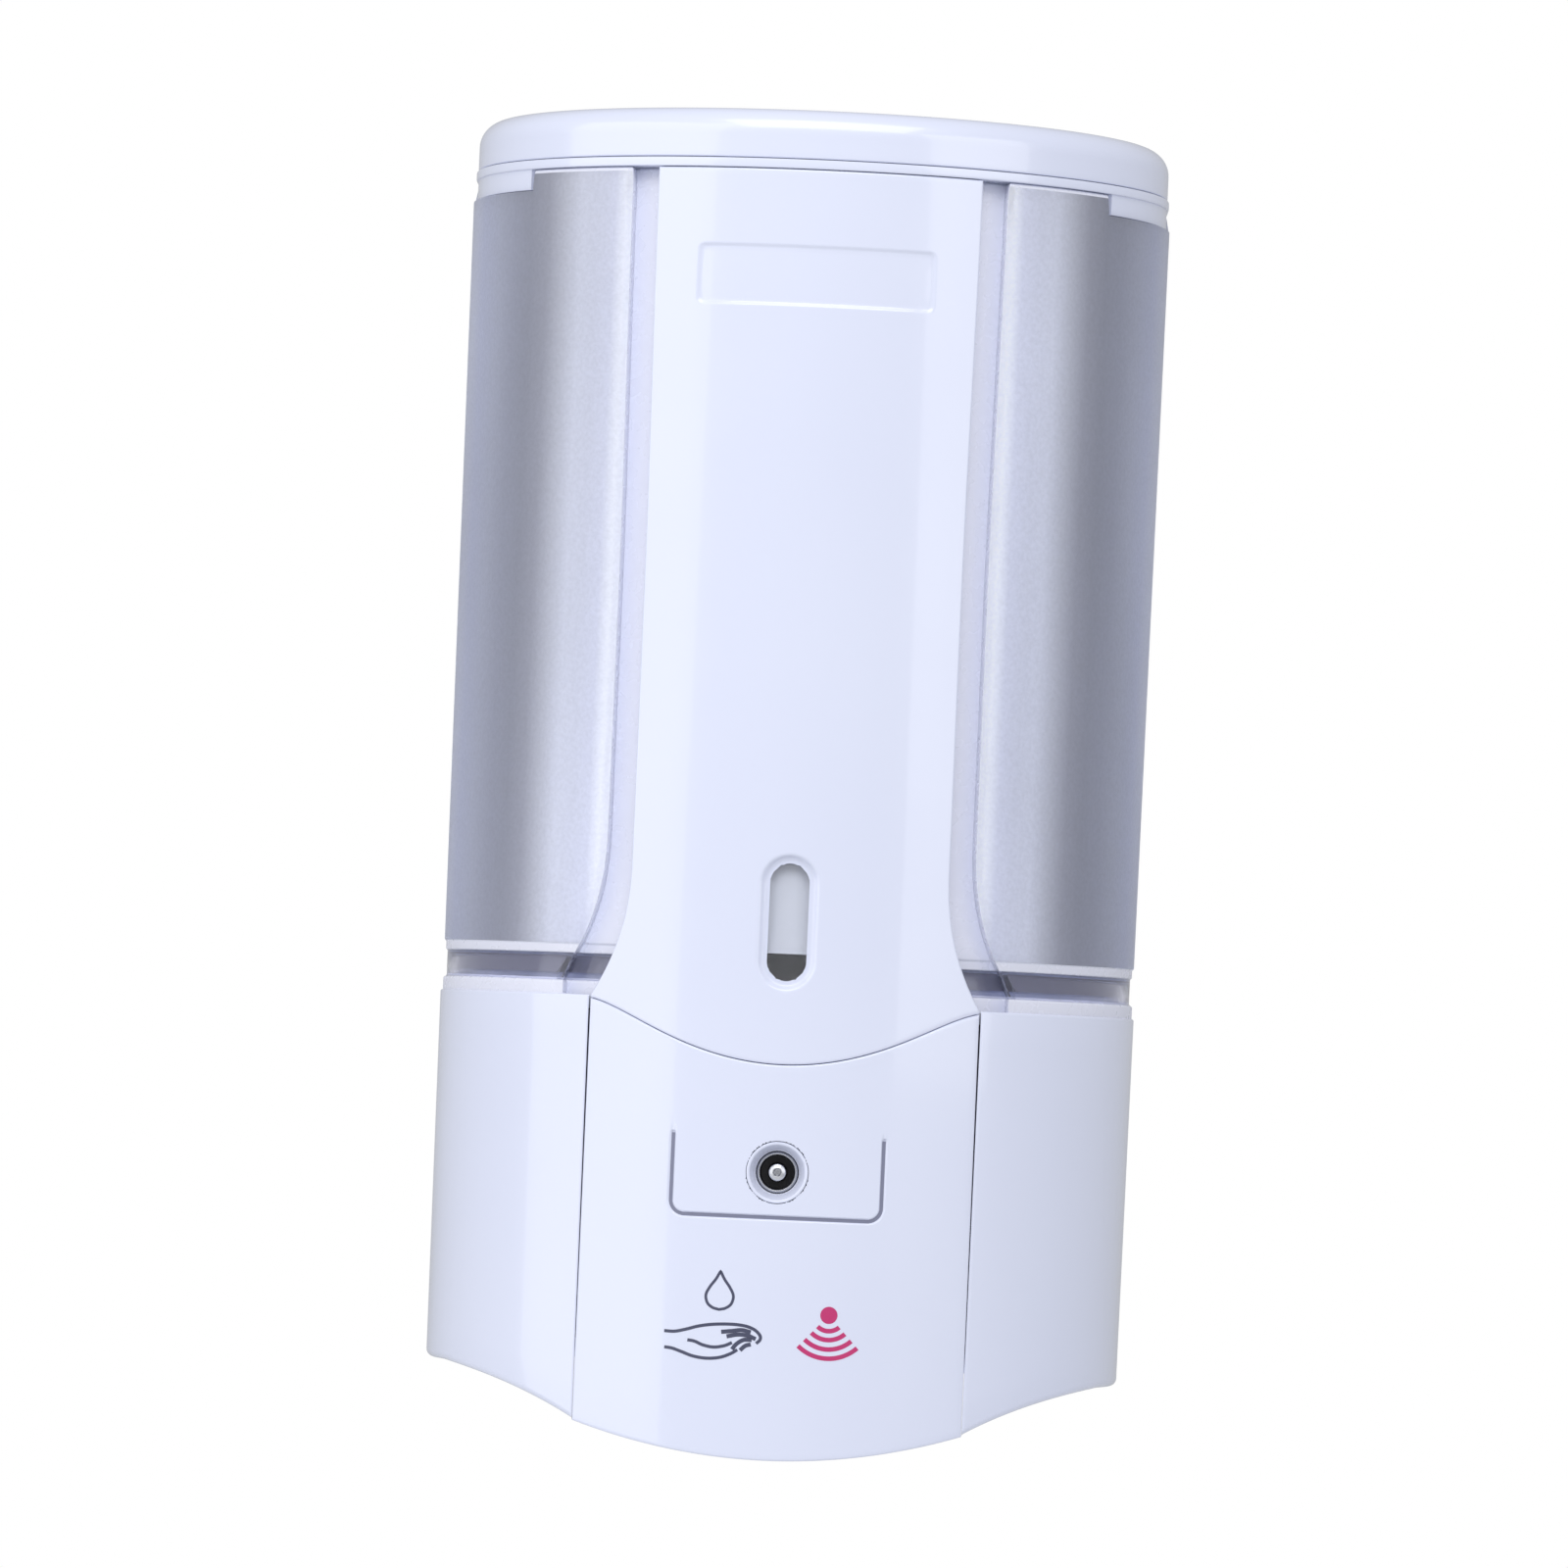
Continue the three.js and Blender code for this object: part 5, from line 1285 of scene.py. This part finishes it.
# %% Boss and hinge ears behind the door
boss_section = tube_section(LOCK_HOLE, 8, 97, 106, 100, 0.4)
door_boss = turned("door_boss", boss_section, "depth", (0, LOCK_HEIGHT), 48, closed=True)
stand_for(door_boss, "door", "shell_white", shell_white)

EAR_ROOT = [(96, 10.6), (98.8, 10.6), (98.8, 14), (98.8, 17.4), (96, 17.4)]
for number, side in enumerate((-1, 1)):
    span = sorted((side * 29.5, side * 32.2))
    ear = hinge_eye(f"door_ear_{number + 1}", span, np.pi / 2, 3.4, EAR_ROOT)
    stand_for(ear, "door", "shell_white", shell_white)

# %% [markdown]
# ## The lock
# A white sleeve stands in the door with a funnel mouth. In it sits the plug of a tubular key: a ring-shaped
# gap with a bright post in the middle, the gap's faces in a dark plastic as painted shade. Both are turned
# shapes about the lock's own line, so a profile of radius and depth says everything.

# %% Lock sleeve and plug
LOCK_LINE = (0, LOCK_HEIGHT)
sleeve_section = [
    (3.75, 100), (3.75, 94.4), (5.4, 94.4), (5.4, 107.75), (4.9, 107.75), (3.75, 105.0), (3.75, 100)
]
sleeve = turned(
    "lock_sleeve_fine", rolled(sleeve_section, 0.2, 4)[:-1], "depth", LOCK_LINE, 64, closed=True, sharp=50
)
stand_for(sleeve, "door", "shell_white", shell_white, "lock_sleeve")

plug_section = [
    (0.02, 93.5), (3.6, 93.5), (3.6, 104.6), (3.2, 104.8), (3.0, 104.4), (3.0, 101.0), (1.6, 101.0),
    (1.5, 106.0), (0.7, 106.4), (0.6, 104.8), (0.02, 104.8),
]
plug = turned("lock_plug_fine", rolled(plug_section, 0.2, 4), "depth", LOCK_LINE, 48, sharp=50)
stand_for(plug, "lock", "steel", steel, "lock_plug")
# painted shade: the faces inside the keyway's ring gap take the dark plastic, for the shade down in the gap
face_x, face_depth, face_height = face_middles(plug)
from_line = np.hypot(face_x, face_height - LOCK_HEIGHT)
shaded_gap_faces = (from_line > 1.55) & (from_line < 3.1) & (face_depth < 104.5) & (face_depth > 100)
share_faces(plug, shaded_gap_faces, dark_plastic)
tail = block("lock_tail", (-2, 91.2, LOCK_HEIGHT - 2), (2, 94, LOCK_HEIGHT + 2), 0.2)
stand_for(tail, "lock", "steel", steel)

# %% [markdown]
# ## Printed signs
# Two signs are pad-printed on the door: a drop over an open hand where the soap comes out, and a dot with
# waves where the sensor looks. Ink has an outline, so each sign is a thin ribbon laid on the bow a few
# hundredths of a millimetre proud. A grey ribbon of the same kind lies on the floor of the U groove round the
# lock and darkens it. The hand is a generic one, drawn with a few curves.


# %% Ribbons on the bow
def door_skin(x, height, lift):
    """Points on the door's face, lifted along its normal; a negative lift lies in the groove."""
    return on_bow(x, height, half_width(height, (0, BASE_FOOT_HALF), (BASE_TOP, NOMINAL_HALF)), -lift)


def smooth_line(points, steps=10):
    """A Catmull-Rom curve through (x, height) points."""
    p = np.asarray(points, float)
    p = np.concatenate([[2 * p[0] - p[1]], p, [2 * p[-1] - p[-2]]])
    t = np.linspace(0, 1, steps, endpoint=False)[:, None]
    parts = []
    for a, b, c, d in zip(p, p[1:], p[2:], p[3:]):
        square, cube = 2 * a - 5 * b + 4 * c - d, 3 * b - a - 3 * c + d
        parts.append(0.5 * (2 * b + (c - a) * t + square * t**2 + cube * t**3))
    return np.concatenate(parts + [p[-2:-1]])


def ribbon(name, line, width, lift=0.03, closed=False, thick=0.05):
    """A flat stroke of even width along a line of (x, height), with its own thickness."""
    line = np.asarray(line, float)
    if closed:
        ahead = np.roll(line, -1, axis=0) - np.roll(line, 1, axis=0)
    else:
        ahead = np.gradient(line, axis=0)
    ahead /= np.linalg.norm(ahead, axis=1)[:, None]
    across = np.stack([-ahead[:, 1], ahead[:, 0]], axis=-1) * width / 2
    left, right = line + across, line - across
    ring = [
        door_skin(left[:, 0], left[:, 1], lift), door_skin(right[:, 0], right[:, 1], lift),
        door_skin(right[:, 0], right[:, 1], lift - thick), door_skin(left[:, 0], left[:, 1], lift - thick),
    ]
    return wrap(name, np.stack(ring, axis=1), closed_rows=closed)


# %% The signs
def columns(first, second):
    """Two rows of numbers side by side, as (points, 2); a single number fills its row."""
    return np.stack(np.broadcast_arrays(first, second), axis=-1)


corner_angle = np.linspace(0, -np.pi / 2, 12)
corner_x, corner_h = GROOVE["half"] - GROOVE["corner"], GROOVE["low"] + GROOVE["corner"]
corner = columns(
    corner_x + GROOVE["corner"] * np.cos(corner_angle), corner_h + GROOVE["corner"] * np.sin(corner_angle)
)
upright = columns(GROOVE["half"], np.linspace(GROOVE["top"], corner_h, 30))
level = columns(np.linspace(corner_x, 0, 30), GROOVE["low"])
u_half = np.concatenate([upright[:-1], corner, level[1:]])
u_line = np.concatenate([u_half, u_half[-2::-1] * np.array([-1, 1])])
# a grey ribbon laid on the floor of the U groove, which darkens it
u_sign = ribbon("lock_line", u_line, 0.84, lift=-0.33, thick=0.12)
stand_for(u_sign, "door", "shell_white", line_grey)

DROP = (-9.1, 26.0)
drop_right = [(0, 6.7), (0.75, 5.3), (1.75, 3.9), (2.4, 2.5), (2.1, 1.1), (1.15, 0.3), (0, 0)]
drop_half = smooth_line(drop_right, 8)
drop_loop = np.concatenate([drop_half, (drop_half * np.array([-1, 1]))[-2:0:-1]])
drop_loop = drop_loop + np.array(DROP)
drop_sign = ribbon("drop_sign", drop_loop, 0.48, closed=True)
stand_for(drop_sign, "door", "shell_white", ink_slate)

HAND = (-18.7, 17.2)
hand_strokes = [
    [(0.18, 4.64), (2.05, 4.64), (4.06, 5.12), (6.22, 5.76), (8.85, 6.19),
     (11.97, 6.33), (14.32, 6.12), (15.91, 5.56), (16.89, 4.67), (17, 3.89), (16.33, 3.16)],
    [(0.3, 1.83), (1.71, 1.66), (3.45, 1.11), (5.35, 0.49),
     (7.71, 0.21), (10.04, 0.46), (11.88, 1.17), (13.1, 1.92)],
    [(4.3, 3.26), (5.55, 3.08), (6.98, 2.52), (8.87, 2.21), (10.73, 2.52), (12.11, 3.13)],
    [(10.16, 4.92), (12.02, 5.16), (13.73, 5.39), (15.31, 5.07)],
    [(11.13, 4.18), (12.99, 4.57), (14.71, 4.49), (16.22, 3.93)],
    [(12.16, 1.96), (12.9, 2.93), (14.12, 3.69), (15.52, 3.75)],
    [(13.57, 1.87), (14.47, 2.69), (15.4, 2.96)],
]
for number, stroke in enumerate(hand_strokes):
    line = smooth_line(np.asarray(stroke) + np.array(HAND), 6)
    line_width = 0.55 if number < 3 else 0.72  # the fingers are drawn bolder
    stand_for(ribbon(f"hand_sign_{number + 1}", line, line_width), "door", "shell_white", ink_slate)

SENSOR = np.array([10.1, 25.8])


def disc_sign(name, centre, radius):
    """A printed dot: concentric rings on the door's face, closed in the middle."""
    ring = circle(1.0, 36)
    loops = [door_skin(centre[0] + r * ring[:, 0], centre[1] + r * ring[:, 1], lift)
             for r, lift in [(0.05, -0.02), (radius, -0.02), (radius, 0.03), (0.05, 0.03)]]
    return wrap(name, np.stack(loops))


stand_for(disc_sign("sensor_dot", SENSOR, 1.5), "door", "shell_white", ink_magenta)
for number, radius in enumerate((2.75, 4.3, 5.95, 7.55)):
    sweep_angle = np.radians(np.linspace(-43, 43, 40)) - np.pi / 2
    arc = SENSOR + radius * columns(np.cos(sweep_angle), np.sin(sweep_angle))
    stand_for(ribbon(f"sensor_wave_{number + 1}", arc, 0.8), "door", "shell_white", ink_magenta)

# %% [markdown]
# ## Behind the door
# The cells and their springs show when the door is open. A cell is a steel can in a printed sleeve
# with a crimped end and a small button. A contact spring is a wire wound in a cone: a helix whose
# radius shrinks as it climbs, which the sweep carries a small circle along.

# %% Cells and springs
cell_wrap = new_material("cell_wrap", (0.04, 0.11, 0.26), 0.3, Coat_Weight=0.3)
vary_roughness(cell_wrap, add_noise(cell_wrap, 300, 2), 0.25, 0.4)


def cell_profile(low, high, up):
    """Radius and height from the flat end to the button, turned over when the cell is upside down."""
    length = high - low
    can = [(0.02, 0), (6.0, 0), (6.5, 0.25), (7.1, 0.8), (7.1, length - 2.6), (6.7, length - 1.9)]
    button = [(6.0, length - 1.5), (2.7, length - 1.4), (2.6, length - 0.1), (2.2, length), (0.02, length)]
    side = can + button
    side = rolled(side, 0.25, 3)
    return np.stack([side[:, 0], low + side[:, 1] if up else high - side[:, 1]], axis=-1)


def spring_path(x, depth, low, high, up):
    """A conical helix: angle grows evenly, radius runs from 4.2 to 2.9 as the wire climbs."""
    t = np.linspace(0, 1, 110)
    turns = 3.4 * 2 * np.pi * t
    radius = 4.2 - 1.3 * t
    height = 0.35 + (high - low - 0.7) * t
    height = low + height if up else high - height
    return np.stack([x + radius * np.cos(turns), depth + radius * np.sin(turns), height], axis=-1)


for number in range(1, 5):
    up = number % 2 == 1
    low, high = box_mm(f"battery_cell_{number}")
    centre = ((low[0] + high[0]) / 2, (low[1] + high[1]) / 2)
    cell = turned(f"cell_{number}_fine", cell_profile(low[2], high[2], up), "height", centre, 48)
    stand_for(cell, "dispenser", "cell_wrap", cell_wrap, f"battery_cell_{number}")
    face_height = face_middles(cell)[2]
    from_button = high[2] - face_height if up else face_height - low[2]
    from_flat = face_height - low[2] if up else high[2] - face_height
    share_faces(cell, (from_button < 2.2) | (from_flat < 0.5), steel)
    low, high = box_mm(f"contact_spring_{number}")
    wire = sweep(f"spring_{number}_fine", spring_path(*centre, low[2], high[2], up), circle(0.32, 8))
    stand_for(wire, "dispenser", "steel", steel, f"contact_spring_{number}")

# %% [markdown]
# ## Hose and nozzle
# The silicone hose drops from the tank, runs round the rear of the pump's track and falls to the
# nozzle. Its middle line is made of straight stretches and arcs, and the sweep carries its outer
# circle along that line. Its bore is left out, since both ends are hidden. The nozzle is turned.

# %% Hose and nozzle
PUMP = {"depth": 47.0, "height": 48.0, "track": 14.5, "bend": 6.5}


def arc_points(centre_depth, centre_height, radius, start, end, steps):
    angle = np.radians(np.linspace(start, end, steps))
    depth, height = centre_depth + radius * np.cos(angle), centre_height + radius * np.sin(angle)
    return np.stack([np.full(steps, OUTLET[0]), depth, height], axis=-1)


hose_low, hose_high = box_mm("pump_hose")
straight_top = np.array([(*OUTLET, hose_high[2] - 9.0 * i / 6) for i in range(6)])
straight_end = np.array([(*OUTLET, 27 - (27 - hose_low[2]) * i / 2) for i in range(1, 3)])
reach_up = PUMP["track"] + PUMP["bend"]
hose_path = np.concatenate([
    straight_top,
    arc_points(PUMP["depth"], PUMP["height"] + reach_up, PUMP["bend"], 0, -90, 12),
    arc_points(PUMP["depth"], PUMP["height"], PUMP["track"], 90, 270, 48)[1:],
    arc_points(PUMP["depth"], PUMP["height"] - reach_up, PUMP["bend"], 90, 0, 12)[1:],
    straight_end,
])
hose = sweep("pump_hose_fine", hose_path, circle(2.5, 24), sharp=60)
stand_for(hose, "dispenser", "silicone", silicone, "pump_hose")

nozzle_section = [
    (1.4, 10), (1.4, 5), (2.2, 5), (3, 9), (3, 15), (6, 15), (6, 16.7), (4, 16.7), (4, 22), (2.4, 25),
    (1.4, 25), (1.4, 10),
]
nozzle = turned("nozzle_fine", rolled(nozzle_section, 0.4, 4)[:-1], "height", OUTLET, 48, closed=True)
stand_for(nozzle, "dispenser", "dark_plastic", dark_plastic, "nozzle")

# %% [markdown]
# ## Finishes for the pieces that keep their CAD shape
# Flat and hidden pieces already have their true shape in the CAD model: the housing, the bracket,
# the deck, the gearbox, screws and pins. They keep their meshes, and each one's slot gets the finish
# of what it is made of.

# %% Carried-over nodes
finishes = {
    "shell_white": shell_white, "tank_frosted": frosted, "window_clear": lens_clear,
    "inner_plastic": inner_plastic, "dark_plastic": dark_plastic, "steel": steel,
    "silicone": silicone, "seal_rubber": seal_rubber,
    "gasket_grey": gasket_grey, "board_green": board_green, "led_red": led_red, "cell_wrap": cell_wrap,
    "lead_red": lead_red,
}
slot_of = {part["node"]: part["material_slot"] for part in frame["record"]["subparts"]}
for name, node in frame["nodes"].items():
    for holder in node.material_slots:
        holder.material = finishes[slot_of[name]]
print("finished", len(frame["nodes"]), "carried-over nodes")
